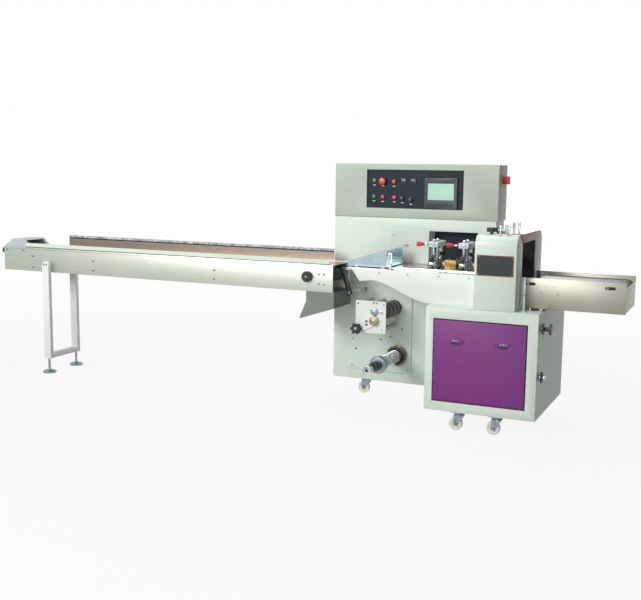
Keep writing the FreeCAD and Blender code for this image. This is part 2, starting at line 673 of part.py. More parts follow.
# ---------------------------------------------------------------- casters
def caster_fork(x, y):
    """A caster's top plate, swivel head, fork and axle pin."""
    half = CASTER_PLATE_SIDE / 2
    top = CHASSIS_Z
    plate = box(x - half, x + half, y - half, y + half, top - CASTER_PLATE, top)
    head_top = top - CASTER_PLATE
    head = turned(((0, CASTER_SWIVEL_R), (CASTER_SWIVEL_H * 0.5, CASTER_SWIVEL_R),
                   (CASTER_SWIVEL_H, CASTER_SWIVEL_R * 0.7)), x, y, head_top, -Z_AXIS)
    crown = CASTER_WHEEL_R * 2 + CASTER_CROWN_GAP
    inner = CASTER_WHEEL_WIDTH / 2 + CASTER_FORK_GAP
    outer = inner + CASTER_FORK_T
    wheel_x = x - CASTER_TRAIL
    pieces = [plate, head, box(x - CASTER_SWIVEL_R, x + CASTER_SWIVEL_R, y - outer, y + outer,
                               crown, head_top - CASTER_SWIVEL_H + 1)]
    cheek_r = CASTER_AXLE_R + 6
    for side in (-1, 1):
        y0 = y + side * inner if side > 0 else y - outer
        outline = ((x - CASTER_SWIVEL_R, crown), (x + CASTER_SWIVEL_R, crown),
                   (wheel_x + cheek_r, CASTER_WHEEL_R), (wheel_x - cheek_r, CASTER_WHEEL_R))
        pieces.append(prism_y(outline, y0, y0 + CASTER_FORK_T).fuse(
            rod(wheel_x, y0, CASTER_WHEEL_R, Y_AXIS, CASTER_FORK_T, cheek_r)))
        pieces.append(box(x - CASTER_SWIVEL_R, x + CASTER_SWIVEL_R, y0, y0 + CASTER_FORK_T,
                          crown - 1, crown + 3))
    pieces.append(rod(wheel_x, y - outer - 3, CASTER_WHEEL_R, Y_AXIS, 2 * outer + 6, CASTER_AXLE_R))
    return joined(pieces)


def caster_forks():
    """Every caster's fixed part."""
    return Part.makeCompound([caster_fork(x, y) for x, y in CASTER_PLACES])


def caster_wheel(place):
    """A nylon wheel with a hub, bored to run on its axle."""
    x, y = place
    half = CASTER_WHEEL_WIDTH / 2
    profile = ((0, CASTER_WHEEL_R * 0.45), (0, CASTER_WHEEL_R - 3), (3, CASTER_WHEEL_R),
               (2 * half - 3, CASTER_WHEEL_R), (2 * half, CASTER_WHEEL_R - 3),
               (2 * half, CASTER_WHEEL_R * 0.45))
    wheel = turned(profile, x - CASTER_TRAIL, y - half, CASTER_WHEEL_R, Y_AXIS)
    bore = rod(x - CASTER_TRAIL, y - half - 1, CASTER_WHEEL_R, Y_AXIS, 2 * half + 2,
               CASTER_AXLE_R + CASTER_AXLE_FIT)
    return wheel.cut(bore)


# ---------------------------------------------------------------- table
def work_table():
    """Three table plates that leave the fin slot open, the front and rear ones on standing ribs."""
    top = LINE_Z
    under = top - TABLE_T
    x1 = SHELL_X - FIT_GAP
    slot_y0 = LINE_Y - TABLE_SLOT / 2
    slot_y1 = LINE_Y + TABLE_SLOT / 2
    bridge = box(TABLE_X, TABLE_SLOT_X, slot_y0 + FIT_GAP, slot_y1 - FIT_GAP, under, top)
    plates = [bridge]
    rib_spans = ((TABLE_FRONT + TABLE_RIB_MARGIN, slot_y0 - TABLE_RIB_SLOT_GAP),
                 (slot_y1 + TABLE_RIB_SLOT_GAP, COLUMN_FRONT - 2 * TABLE_RIB_MARGIN))
    plate_spans = ((TABLE_FRONT, slot_y0), (slot_y1, COLUMN_FRONT))
    for plate_span, rib_span in zip(plate_spans, rib_spans):
        pieces = [box(TABLE_X, x1, plate_span[0], plate_span[1], under, top)]
        for place in TABLE_RIB_PLACES:
            x = CABINET_X + place
            pieces.append(box(x, x + TABLE_RIB, rib_span[0], rib_span[1], CABINET_TOP_Z, under + 1))
        plates.append(joined(pieces))
    return Part.makeCompound(plates)


def table_fascia():
    """The white front plate: its lower edge sweeps from the nose down to the cabinet top."""
    y0 = TABLE_FRONT - FASCIA_T
    x1 = SHELL_X - FIT_GAP
    top_left = FreeCAD.Vector(TABLE_X + FASCIA_LEFT, y0, LINE_Z)
    top_right = FreeCAD.Vector(x1, y0, LINE_Z)
    low_right = FreeCAD.Vector(x1, y0, CABINET_TOP_Z)
    toe = FreeCAD.Vector(FASCIA_TOE_X, y0, CABINET_TOP_Z)
    peak = FreeCAD.Vector(FASCIA_PEAK_X, y0, FASCIA_PEAK_Z)
    nose = FreeCAD.Vector(FASCIA_NOSE_X, y0, FASCIA_NOSE_Z)
    sweep = Part.BSplineCurve()
    fall = FASCIA_PEAK_Z - CABINET_TOP_Z
    run = FASCIA_TOE_X - FASCIA_PEAK_X
    through = [toe]
    for run_share, fall_share in FASCIA_SWEEP:
        through.append(FreeCAD.Vector(toe.x - run * run_share, y0, CABINET_TOP_Z + fall * fall_share))
    sweep.interpolate(through + [peak])
    edges = [Part.makeLine(top_left, top_right), Part.makeLine(top_right, low_right),
             Part.makeLine(low_right, toe), sweep.toShape(), Part.makeLine(peak, nose),
             Part.makeLine(nose, top_left)]
    return Part.Face(Part.Wire(edges)).extrude(FreeCAD.Vector(0, FASCIA_T, 0))


def film_rails():
    """Two bright film rails along the front of the table and the slotted upright beside the former."""
    rails = [former_bracket()]
    for place in TABLE_RAIL_PLACES:
        y = TABLE_FRONT + place
        rails.append(box(BRACKET_X + TABLE_RAIL_START, SHELL_X - TABLE_RAIL_END, y, y + TABLE_RAIL_T,
                         LINE_Z, LINE_Z + TABLE_RAIL_H))
    return Part.makeCompound(rails)


# ---------------------------------------------------------------- infeed conveyor
INFEED_Y0 = LINE_Y - INFEED_WIDTH / 2
INFEED_Y1 = LINE_Y + INFEED_WIDTH / 2
SKIRT_Z = LINE_Z - SKIRT_HEIGHT
BED_Z = LINE_Z - BED_DROP - BED_T
ROLLER_Z = LINE_Z - INFEED_ROLLER_DROP


def infeed_sides():
    """Two folded skirts that face each other and the plate across the tail end."""
    sides = []
    for side in (-1, 1):
        outer = INFEED_Y0 if side < 0 else INFEED_Y1
        web = sorted((outer, outer - side * SKIRT_T))
        lip = sorted((outer, outer - side * SKIRT_FLANGE))
        sides.append(joined([
            box(INFEED_X, INFEED_END_X, web[0], web[1], SKIRT_Z, LINE_Z),
            box(INFEED_X, INFEED_END_X, lip[0], lip[1], BED_Z - SKIRT_T, BED_Z),
            box(INFEED_X, INFEED_END_X, lip[0], lip[1], SKIRT_Z, SKIRT_Z + SKIRT_T)]))
    inset = SKIRT_T + FIT_GAP
    sides.append(box(INFEED_X, INFEED_X + SKIRT_T, INFEED_Y0 + inset, INFEED_Y1 - inset,
                     SKIRT_Z + SKIRT_T + FIT_GAP, BED_Z - SKIRT_T - FIT_GAP))
    return Part.makeCompound(sides)


def infeed_bed():
    """Two bed plates that leave the chain slot open between them."""
    inset = SKIRT_T + FIT_GAP
    half = CHAIN_SLOT / 2
    front = box(INFEED_X, INFEED_END_X, INFEED_Y0 + inset, LINE_Y - half, BED_Z, BED_Z + BED_T)
    rear = box(INFEED_X, INFEED_END_X, LINE_Y + half, INFEED_Y1 - inset, BED_Z, BED_Z + BED_T)
    return Part.makeCompound([front, rear])


def infeed_arm():
    """The short box arm that carries the infeed's head end from the column."""
    x1 = INFEED_ARM_X + INFEED_ARM_WIDTH
    z1 = INFEED_ARM_Z + INFEED_ARM_HEIGHT
    arm = box(INFEED_ARM_X, x1, INFEED_Y1, COLUMN_FRONT, INFEED_ARM_Z, z1)
    margin = 2 * INFEED_ARM_FLANGE
    flange = box(INFEED_ARM_X - margin, x1 + margin, COLUMN_FRONT - INFEED_ARM_FLANGE, COLUMN_FRONT,
                 INFEED_ARM_Z - INFEED_ARM_FLANGE, z1 + INFEED_ARM_FLANGE)
    return joined([arm, flange])


def guide_rail(x0, x1, y0, height):
    """A side rail on short feet along a skirt's top edge."""
    foot_z = LINE_Z + RAIL_LIFT
    pieces = [box(x0, x1, y0, y0 + RAIL_T, foot_z, LINE_Z + height)]
    pitch = (x1 - x0 - RAIL_FOOT) / (RAIL_FEET - 1)
    for index in range(RAIL_FEET):
        x = x0 + pitch * index
        pieces.append(box(x, x + RAIL_FOOT, y0, y0 + RAIL_T, LINE_Z, foot_z + 1))
    return joined(pieces)


def infeed_guides():
    """The low front rail and the taller rear rail."""
    front = guide_rail(FRONT_RAIL_X, FRONT_RAIL_END_X, INFEED_Y0, FRONT_RAIL_HEIGHT)
    rear = guide_rail(REAR_RAIL_X, REAR_RAIL_END_X, INFEED_Y1 - RAIL_T, REAR_RAIL_HEIGHT)
    return Part.makeCompound([front, rear])


def infeed_rollers():
    """The infeed's head and tail rollers with a groove for the chain, and their shafts."""
    rollers = []
    face = INFEED_WIDTH / 2 - SKIRT_FLANGE - 4
    wall = INFEED_WIDTH / 2 - SKIRT_T - FIT_GAP
    half = CHAIN_WIDTH / 2 + 2
    low = INFEED_ROLLER_R - INFEED_ROLLER_GROOVE
    for x in (INFEED_X + INFEED_ROLLER_INSET, INFEED_END_X - INFEED_ROLLER_INSET):
        profile = ((-wall, 10), (-face, 10), (-face, INFEED_ROLLER_R), (-half, INFEED_ROLLER_R),
                   (-half, low), (half, low), (half, INFEED_ROLLER_R), (face, INFEED_ROLLER_R),
                   (face, 10), (wall, 10))
        rollers.append(turned(profile, x, LINE_Y, ROLLER_Z, Y_AXIS))
    return rollers


def belt_loop(x0, x1, z, radius, thickness, y0, y1):
    """A closed band around two rollers: the outer loop less the inner loop."""
    def stadium(r):
        middle = box(x0, x1, y0, y1, z - r, z + r)
        ends = [rod(x, y0, z, Y_AXIS, y1 - y0, r) for x in (x0, x1)]
        return joined([middle] + ends)
    return stadium(radius + thickness).cut(stadium(radius))


def infeed_chain():
    """The lug chain's fixed loop in the groove of the rollers."""
    radius = INFEED_ROLLER_R - INFEED_ROLLER_GROOVE + FIT_GAP
    return belt_loop(INFEED_X + INFEED_ROLLER_INSET, INFEED_END_X - INFEED_ROLLER_INSET, ROLLER_Z,
                     radius, CHAIN_T, LINE_Y - CHAIN_WIDTH / 2, LINE_Y + CHAIN_WIDTH / 2)


def frustum_box(x0, x1, y0, y1, z0, z1, lean_left, lean_right, lean_front):
    """A hood block whose left, right and front faces lean inwards."""
    base = Part.makePolygon([FreeCAD.Vector(x, y, z0) for x, y in
                             ((x0, y0), (x1, y0), (x1, y1), (x0, y1), (x0, y0))])
    top = Part.makePolygon([FreeCAD.Vector(x, y, z1) for x, y in
                            ((x0 + lean_left, y0 + lean_front), (x1 - lean_right, y0 + lean_front),
                             (x1 - lean_right, y1), (x0 + lean_left, y1),
                             (x0 + lean_left, y0 + lean_front))])
    return Part.makeLoft([base, top], True, True)


def tail_cover():
    """The faceted sheet hood over the tail, open below and towards the line."""
    x0 = INFEED_X
    x1 = INFEED_X + COVER_LENGTH
    top = LINE_Z + COVER_HEIGHT
    outer = frustum_box(x0, x1, INFEED_Y0, INFEED_Y1, LINE_Z, top, COVER_LEAN_LEFT,
                        COVER_LEAN_RIGHT, COVER_LEAN_FRONT)
    sheet = COVER_SHEET
    inner = frustum_box(x0 + sheet, x1 - sheet, INFEED_Y0 + sheet, INFEED_Y1 - sheet, LINE_Z - 0.01,
                        top - sheet, COVER_LEAN_LEFT, COVER_LEAN_RIGHT, COVER_LEAN_FRONT)
    mouth = box(x1 - COVER_LEAN_RIGHT, x1 + 1, INFEED_Y0 + COVER_LEAN_FRONT + 12, INFEED_Y1 - 24,
                LINE_Z - 1, top - sheet - 6)
    return outer.cut(inner).cut(mouth)


def tail_knob():
    """The small clamping knob on the tail end plate."""
    x = INFEED_X - FIT_GAP
    profile = ((0, 8), (8, 8), (8, TAIL_KNOB_R), (TAIL_KNOB_REACH - 3, TAIL_KNOB_R),
               (TAIL_KNOB_REACH, TAIL_KNOB_R - 4))
    return turned(profile, x, INFEED_Y0 + TAIL_KNOB_DY, LINE_Z - TAIL_KNOB_DROP, -X_AXIS)


def infeed_handwheel():
    """The black hand knob on the front skirt."""
    y = INFEED_Y0 - FIT_GAP
    profile = ((0, 14), (5, 14), (5, HANDWHEEL_R), (HANDWHEEL_H - 4, HANDWHEEL_R),
               (HANDWHEEL_H, HANDWHEEL_R - 5))
    return turned(profile, HANDWHEEL_X, y, HANDWHEEL_Z, -Y_AXIS)


def crumb_chute():
    """The open sheet chute under the infeed's head, with its floor sloping to a lip."""
    top = SKIRT_Z
    sheet = CHUTE_SHEET
    outline = ((CHUTE_X, top), (CHUTE_END_X, top), (CHUTE_END_X, CHUTE_HEEL_Z),
               (CHUTE_LIP_X, CHUTE_LIP_Z), (CHUTE_X, top - 60))
    slope = (CHUTE_HEEL_Z - CHUTE_LIP_Z) / (CHUTE_END_X - CHUTE_LIP_X)
    lift = sheet * math.sqrt(1 + slope * slope)
    inner = ((CHUTE_LIP_X - 200, top + 1), (CHUTE_END_X - sheet, top + 1),
             (CHUTE_END_X - sheet, CHUTE_HEEL_Z + lift - slope * sheet),
             (CHUTE_LIP_X - 200, CHUTE_LIP_Z + lift - slope * 200))
    body = prism_y(outline, INFEED_Y0, INFEED_Y1)
    return body.cut(prism_y(inner, INFEED_Y0 + sheet, INFEED_Y1 - sheet))


def leg_stand():
    """Two flat tube legs outside the skirts, joined by a bar near the floor."""
    half = STAND_TUBE_X / 2
    pieces = []
    spans = ((INFEED_Y0 - STAND_TUBE_Y, INFEED_Y0), (INFEED_Y1, INFEED_Y1 + STAND_TUBE_Y))
    for y0, y1 in spans:
        straight = box(STAND_X - half, STAND_X + half, y0, y1, STAND_FOOT_Z, STAND_TOP_Z - half)
        tongue = rod(STAND_X, y0, STAND_TOP_Z - half, Y_AXIS, y1 - y0, half)
        pieces.append(joined([straight, tongue]))
    pieces.append(box(STAND_X - half + 6, STAND_X + half - 6, spans[0][1] - 1, spans[1][0] + 1,
                      STAND_FOOT_Z, STAND_FOOT_Z + STAND_BAR_H))
    return joined(pieces)


def levelling_feet():
    """Two round levelling feet under the legs."""
    feet = []
    for y in (INFEED_Y0 - STAND_TUBE_Y / 2, INFEED_Y1 + STAND_TUBE_Y / 2):
        profile = ((0, FOOT_R), (FOOT_PAD_H, FOOT_R), (FOOT_PAD_H + FOOT_DOME_H, FOOT_R * 0.45),
                   (FOOT_PAD_H + FOOT_DOME_H, FOOT_STEM_R), (STAND_FOOT_Z, FOOT_STEM_R))
        feet.append(turned(profile, STAND_X, y, 0, Z_AXIS))
    return Part.makeCompound(feet)


# ---------------------------------------------------------------- film unit
def film_plate():
    """The mounting plate for the film unit on the column's front."""
    return box(FILM_PLATE_X, FILM_PLATE_END_X, FILM_PLATE_FRONT, COLUMN_FRONT,
               FILM_PLATE_Z, FILM_PLATE_TOP_Z)


PLATE_BACK = ROLLER_PLATE_FRONT + ROLLER_PLATE_T
FEED_X = ROLLER_PLATE_X + FEED_ROLLER_DX
FEED_Z = ROLLER_PLATE_Z + FEED_ROLLER_DZ
GUIDE_X = ROLLER_PLATE_X + GUIDE_ROLLER_DX
GUIDE_Z = ROLLER_PLATE_Z + GUIDE_ROLLER_DZ


def link(x0, z0, r0, x1, z1, r1, y0, y1):
    """A flat link between two round ends, with straight sides that touch both."""
    run = math.hypot(x1 - x0, z1 - z0)
    heading = math.atan2(z1 - z0, x1 - x0)
    spread = math.acos((r0 - r1) / run)
    sides = []
    for x, z, radius, turn in ((x0, z0, r0, spread), (x1, z1, r1, spread), (x1, z1, r1, -spread),
                               (x0, z0, r0, -spread)):
        sides.append((x + radius * math.cos(heading + turn), z + radius * math.sin(heading + turn)))
    ends = [rod(x, y0, z, Y_AXIS, y1 - y0, radius) for x, z, radius in ((x0, z0, r0), (x1, z1, r1))]
    return joined([prism_y(sides, y0, y1)] + ends)


def roller_plate():
    """The square bearing plate with the swing arm on its face, bored for the roller shafts."""
    side = ROLLER_PLATE_SIDE
    plate = box(ROLLER_PLATE_X, ROLLER_PLATE_X + side, ROLLER_PLATE_FRONT, PLATE_BACK,
                ROLLER_PLATE_Z, ROLLER_PLATE_Z + side)
    plate = rounded(plate, Y_AXIS, ROLLER_PLATE_R)
    end_x, end_z, end_r = SWING_ARM_END
    disc_x, disc_z = THUMB_DISC_PLACES[1][:2]
    arm = link(ROLLER_PLATE_X + end_x, ROLLER_PLATE_Z + end_z, end_r, ROLLER_PLATE_X + disc_x,
               ROLLER_PLATE_Z + disc_z, SWING_ARM_HEAD_R, ROLLER_PLATE_FRONT - SWING_ARM_T,
               ROLLER_PLATE_FRONT)
    plate = joined([plate, arm])
    for x, z, radius in ((FEED_X, FEED_Z, FEED_SHAFT_R), (GUIDE_X, GUIDE_Z, GUIDE_SHAFT_R)):
        plate = plate.cut(rod(x, ROLLER_PLATE_FRONT - 1, z, Y_AXIS, ROLLER_PLATE_T + 2,
                              radius + RUNNING_FIT))
    return plate


def tie_rods():
    """Distance rods from the film plate to the roller plate, and the knurled discs in front."""
    side = ROLLER_PLATE_SIDE
    inset = TIE_ROD_INSET
    pieces = []
    for dx, dz in ((inset, side - inset), (side * 0.5, side - inset), (inset, side * 0.4)):
        pieces.append(rod(ROLLER_PLATE_X + dx, PLATE_BACK, ROLLER_PLATE_Z + dz, Y_AXIS,
                          FILM_PLATE_FRONT - PLATE_BACK, TIE_ROD_R))
    for dx, dz, radius, stand in THUMB_DISC_PLACES:
        profile = ((0, radius * 0.5), (THUMB_DISC_NECK, radius * 0.5), (THUMB_DISC_NECK, radius),
                   (THUMB_DISC_T, radius), (THUMB_DISC_T, radius * 0.35),
                   (THUMB_DISC_T + THUMB_DISC_NUT, radius * 0.35))
        pieces.append(turned(profile, ROLLER_PLATE_X + dx, ROLLER_PLATE_FRONT - stand,
                             ROLLER_PLATE_Z + dz, -Y_AXIS))
    return Part.makeCompound(pieces)


def film_roller(x, z, radius, shaft_r, reach):
    """A roller between the two plates on a shaft that passes the roller plate."""
    y0 = ROLLER_PLATE_FRONT - reach
    y1 = FILM_PLATE_FRONT - FIT_GAP
    face0 = PLATE_BACK + ROLLER_END_GAP
    face1 = FILM_PLATE_FRONT - ROLLER_END_GAP
    profile = ((0, shaft_r), (face0 - y0, shaft_r), (face0 - y0, radius), (face1 - y0, radius),
               (face1 - y0, shaft_r), (y1 - y0, shaft_r))
    return turned(profile, x, y0, z, Y_AXIS)


def feed_roller():
    """The driven film roller with its raised rubber band."""
    roller = film_roller(FEED_X, FEED_Z, FEED_ROLLER_R, FEED_SHAFT_R, 8)
    length = FILM_PLATE_FRONT - PLATE_BACK
    band = rod(FEED_X, PLATE_BACK + length * 0.18, FEED_Z, Y_AXIS, length * 0.34, FEED_ROLLER_R + 2)
    return joined([roller, band])


def guide_roller():
    """The slim lower idler."""
    return film_roller(GUIDE_X, GUIDE_Z, GUIDE_ROLLER_R, GUIDE_SHAFT_R, 4)


def film_star_knob():
    """The black star knob at the lower corner of the roller plate."""
    x = ROLLER_PLATE_X + STAR_KNOB_DX
    z = ROLLER_PLATE_Z + STAR_KNOB_DZ
    y = ROLLER_PLATE_FRONT - FIT_GAP
    neck = rod(x, y, z, -Y_AXIS, STAR_KNOB_NECK + 1, STAR_KNOB_NECK_R)
    grip = lobed_knob(x, y - STAR_KNOB_NECK, z, -Y_AXIS, STAR_KNOB_R, STAR_KNOB_H, STAR_KNOB_LOBES)
    return joined([neck, grip])


def reel_hub():
    """The bearing flange of the reel shaft on the film plate."""
    profile = ((0, REEL_HUB_R), (REEL_HUB_T - 3, REEL_HUB_R), (REEL_HUB_T, REEL_HUB_R - 3))
    return turned(profile, REEL_X, FILM_PLATE_FRONT, REEL_Z, -Y_AXIS)


def reel_shaft():
    """The cantilever reel shaft: back flange, ribbed sleeve, clamping disc, collar and cap."""
    back = FILM_PLATE_FRONT - REEL_HUB_T - FIT_GAP
    length = back - REEL_FRONT
    profile = [(0, 30), (6, 30), (6, REEL_FLANGE_R), (14, REEL_FLANGE_R), (18, REEL_SLEEVE_R)]
    ribs = 9
    start = 22.0
    end = length - 205
    pitch = (end - start) / ribs
    for index in range(ribs):
        x = start + pitch * index
        profile += [(x, REEL_SLEEVE_R), (x + pitch * 0.72, REEL_SLEEVE_R),
                    (x + pitch * 0.72, REEL_SLEEVE_R - 4), (x + pitch, REEL_SLEEVE_R - 4)]
    profile += [(end, REEL_SLEEVE_R), (end + 4, REEL_SLEEVE_R), (end + 4, REEL_DISC_R),
                (end + 34, REEL_DISC_R), (end + 38, REEL_DISC_R - 6), (end + 38, REEL_COLLAR_R),
                (length - 42, REEL_COLLAR_R), (length - 42, REEL_COLLAR_R - 4),
                (length - 36, REEL_COLLAR_R - 4), (length - 36, REEL_COLLAR_R + 1),
                (length - 2, REEL_COLLAR_R + 1), (length, REEL_COLLAR_R - 1)]
    shaft = turned(profile, REEL_X, back, REEL_Z, -Y_AXIS)
    bore = rod(REEL_X, REEL_FRONT - 1, REEL_Z, Y_AXIS, 30, 7)
    return shaft.cut(bore)


def film_guide_arm():
    """The dark arm that carries the film from the roller unit up to the former."""
    y0 = LINE_Y - ARM_FRONT
    head_z = LINE_Z - ARM_HEAD_DROP
    foot_z = FILM_PLATE_TOP_Z - ARM_FOOT_DROP
    outline = ((ARM_HEAD_X, head_z), (ARM_HEAD_X + ARM_WIDTH, head_z),
               (ARM_FOOT_X + ARM_WIDTH, foot_z + ARM_FOOT_SLANT), (ARM_FOOT_X, foot_z))
    arm = prism_y(outline, y0, y0 + ARM_T)
    bar = rod(ARM_FOOT_X + ARM_BAR_DX, y0, FILM_PLATE_TOP_Z - ARM_BAR_DROP, Y_AXIS,
              FILM_PLATE_FRONT - y0, ARM_BAR_R)
    top_bar = rod(ARM_PIN_X, y0, LINE_Z - ARM_PIN_DROP, Y_AXIS, ARM_PIN_LENGTH, ARM_PIN_R)
    return joined([arm, bar, top_bar])


# ---------------------------------------------------------------- former and sealing units
def former():
    """The folding box: two rising wings joined by a floor sheet on four feet."""
    z0 = LINE_Z + FORMER_LIFT
    x1 = FORMER_X + FORMER_LENGTH
    pieces = []
    for side in (-1, 1):
        y0 = LINE_Y + side * FORMER_HALF_WIDTH
        wing = ((FORMER_X, z0), (x1, z0), (x1, z0 + FORMER_RISE), (x1 - 12, z0 + FORMER_RISE),
                (FORMER_X, z0 + 26))
        span = sorted((y0, y0 + side * FORMER_SHEET))
        pieces.append(prism_y(wing, span[0], span[1]))
    y0 = LINE_Y - FORMER_HALF_WIDTH - FORMER_SHEET
    y1 = LINE_Y + FORMER_HALF_WIDTH + FORMER_SHEET
    pieces.append(box(FORMER_X, x1, y0, y1, z0, z0 + FORMER_SHEET))
    for x in (FORMER_X + 40, x1 - 40):
        pieces.append(box(x, x + 16, y0 + 20, y0 + 50, LINE_Z, z0 + 1))
        pieces.append(box(x, x + 16, y1 - 50, y1 - 20, LINE_Z, z0 + 1))
    return joined(pieces)


def former_bracket():
    """The slotted upright on the table's front edge."""
    y0 = TABLE_FRONT + BRACKET_INSET
    half = BRACKET_WIDTH / 2
    half_slot = BRACKET_SLOT / 2
    top = LINE_Z + BRACKET_HEIGHT
    upright = box(BRACKET_X - half, BRACKET_X + half, y0, y0 + BRACKET_T, LINE_Z, top)
    slot = box(BRACKET_X - half_slot, BRACKET_X + half_slot, y0 - 1, y0 + BRACKET_T + 1,
               LINE_Z + BRACKET_SLOT_LOW, top - BRACKET_SLOT_HIGH)
    foot = box(BRACKET_X - half, BRACKET_X + half, y0, y0 + BRACKET_FOOT, LINE_Z, LINE_Z + BRACKET_T)
    return joined([upright.cut(slot), foot])


WHEEL_DY = UNIT_WHEEL_R + UNIT_WHEEL_NIP / 2
WHEEL_Z = LINE_Z + UNIT_BASE_H + 2


def seal_unit(x):
    """One fin-seal unit: base, rear post, bridge, two sprung spindles and the release lever."""
    half = UNIT_BASE_X / 2
    half_slot = TABLE_SLOT / 2
    post_y = LINE_Y + UNIT_POST_DY
    base_top = LINE_Z + UNIT_BASE_H
    base = box(x - half, x + half, LINE_Y - UNIT_BASE_FRONT, post_y + UNIT_BASE_REAR, LINE_Z, base_top)
    slot = box(x - half - 1, x + half + 1, LINE_Y - half_slot, LINE_Y + half_slot, LINE_Z - 1, base_top + 1)
    post = rod(x, post_y, LINE_Z, Z_AXIS, UNIT_BRIDGE_Z - LINE_Z + 1, UNIT_POST_R)
    half_b = UNIT_BRIDGE_X / 2
    bridge_top = UNIT_BRIDGE_Z + UNIT_BRIDGE_H
    bridge = box(x - half_b, x + half_b, LINE_Y - WHEEL_DY - UNIT_BRIDGE_FRONT,
                 post_y + UNIT_BRIDGE_REAR, UNIT_BRIDGE_Z, bridge_top)
    pieces = [base.cut(slot), post, rounded(bridge, Z_AXIS, UNIT_BRIDGE_R)]
    wheel_top = WHEEL_Z + UNIT_WHEEL_H
    for side in (-1, 1):
        y = LINE_Y + side * WHEEL_DY
        spindle_z = wheel_top + FIT_GAP
        pieces.append(rod(x, y, spindle_z, Z_AXIS, bridge_top + UNIT_SPINDLE_TOP - spindle_z,
                          UNIT_SPINDLE_R))
        for coil in range(UNIT_SPRING_COILS):
            z = wheel_top + UNIT_SPRING_LIFT + coil * UNIT_SPRING_PITCH
            pieces.append(ring(x, y, z, Z_AXIS, UNIT_SPRING_WIRE * 2, UNIT_SPRING_R, UNIT_SPINDLE_R - 1))
    lever_z = UNIT_BRIDGE_Z + UNIT_BRIDGE_H / 2
    lever_y = LINE_Y - WHEEL_DY - UNIT_LEVER_INSET
    lever_x = x - half_b
    pieces.append(rod(lever_x + 1, lever_y, lever_z, -X_AXIS, UNIT_LEVER_LENGTH, UNIT_LEVER_R))
    pieces.append(turned(UNIT_GRIP_PROFILE, lever_x - UNIT_GRIP_START, lever_y, lever_z, -X_AXIS))
    return joined(pieces)


def seal_units():
    """The two fin-seal units on the table."""
    return Part.makeCompound([seal_unit(x) for x in UNIT_X])


def seal_wheel(x, y):
    """A sealing wheel: three heated rims on one hub."""
    rim = UNIT_WHEEL_R
    low = rim - 7
    step = UNIT_WHEEL_H / 5
    profile = []
    for index in range(5):
        radius = rim if index % 2 == 0 else low
        profile += [(index * step, radius), ((index + 1) * step, radius)]
    return turned(profile, x, y, WHEEL_Z, Z_AXIS)


def seal_wheels():
    """Each unit's pair of wheels, which nip the fin over the table slot."""
    wheels = []
    for x in UNIT_X:
        for side in (-1, 1):
            wheels.append(seal_wheel(x, LINE_Y + side * WHEEL_DY))
    return Part.makeCompound(wheels)


def heater_block():
    """The brass preheating block between the two units."""
    half = HEATER_WIDTH / 2
    x1 = HEATER_X + HEATER_LENGTH
    block = box(HEATER_X, x1, LINE_Y - half, LINE_Y + half, LINE_Z, LINE_Z + HEATER_HEIGHT)
    groove = box(HEATER_X - 1, x1 + 1, LINE_Y - TABLE_SLOT / 2, LINE_Y + TABLE_SLOT / 2,
                 LINE_Z - 1, LINE_Z + HEATER_HEIGHT * 0.6)
    return rounded(block.cut(groove), X_AXIS, 4, lambda p: p.z > LINE_Z + HEATER_HEIGHT - 1)


# ---------------------------------------------------------------- end-seal housing
def shell_block(y0, y1, round_y):
    """One cheek of the end-seal housing with its rounded upper edge."""
    x1 = SHELL_X + SHELL_LENGTH
    block = box(SHELL_X, x1, y0, y1, CABINET_TOP_Z, SHELL_TOP_Z)
    block = rounded(block, X_AXIS, SHELL_ROUND_R,
                    lambda p: abs(p.y - round_y) < 1 and p.z > SHELL_TOP_Z - 1)
    return block


def seal_shell_front():
    """The front cheek and the sill that carries the jaws' lower guard."""
    cheek = shell_block(0, SHELL_FRONT_DEPTH, 0)
    sill = box(SHELL_X, SHELL_X + SHELL_LENGTH, SHELL_FRONT_DEPTH, SHELL_REAR_Y - FIT_GAP,
               CABINET_TOP_Z, MOUTH_SILL_Z)
    return joined([cheek, sill])


def seal_shell_rear():
    """The rear cheek."""
    return shell_block(SHELL_REAR_Y, SHELL_REAR_Y + SHELL_REAR_DEPTH, SHELL_REAR_Y + SHELL_REAR_DEPTH)


def seal_guard():
    """The red guard: a top plate between the cheeks and a tapered flange over the mouth."""
    x1 = SHELL_X + SHELL_LENGTH
    z0 = SHELL_TOP_Z
    top = box(SHELL_X + GUARD_TOP_START, x1 + GUARD_TOP_T, GUARD_FRONT_Y + GUARD_TOP_FRONT,
              GUARD_BACK_Y, z0, z0 + GUARD_TOP_T)
    flange = prism_x(((GUARD_FRONT_Y, z0 + GUARD_TOP_T), (GUARD_BACK_Y, z0 + GUARD_TOP_T),
                      (GUARD_BACK_Y - GUARD_TAPER, z0 - GUARD_DROP),
                      (GUARD_FRONT_Y + GUARD_TAPER, z0 - GUARD_DROP)), x1, x1 + GUARD_TOP_T)
    return joined([top, flange])


def seal_posts():
    """Bright spring posts that stand on the front cheek."""
    posts = []
    for x, y, height in SHELL_POSTS:
        profile = ((0, SHELL_POST_R + 3), (5, SHELL_POST_R + 3), (5, SHELL_POST_R),
                   (height - 2, SHELL_POST_R), (height, SHELL_POST_R - 2))
        posts.append(turned(profile, x, y, SHELL_TOP_Z, Z_AXIS))
    return Part.makeCompound(posts)


def shell_knob():
    """The black lobed hand knob on the front cheek."""
    z = SHELL_TOP_Z + FIT_GAP
    neck = rod(SHELL_KNOB_X, SHELL_KNOB_Y, z, Z_AXIS, 13, 10)
    grip = lobed_knob(SHELL_KNOB_X, SHELL_KNOB_Y, z + 12, Z_AXIS, SHELL_KNOB_R, 22, SHELL_KNOB_LOBES)
    return joined([neck, grip])


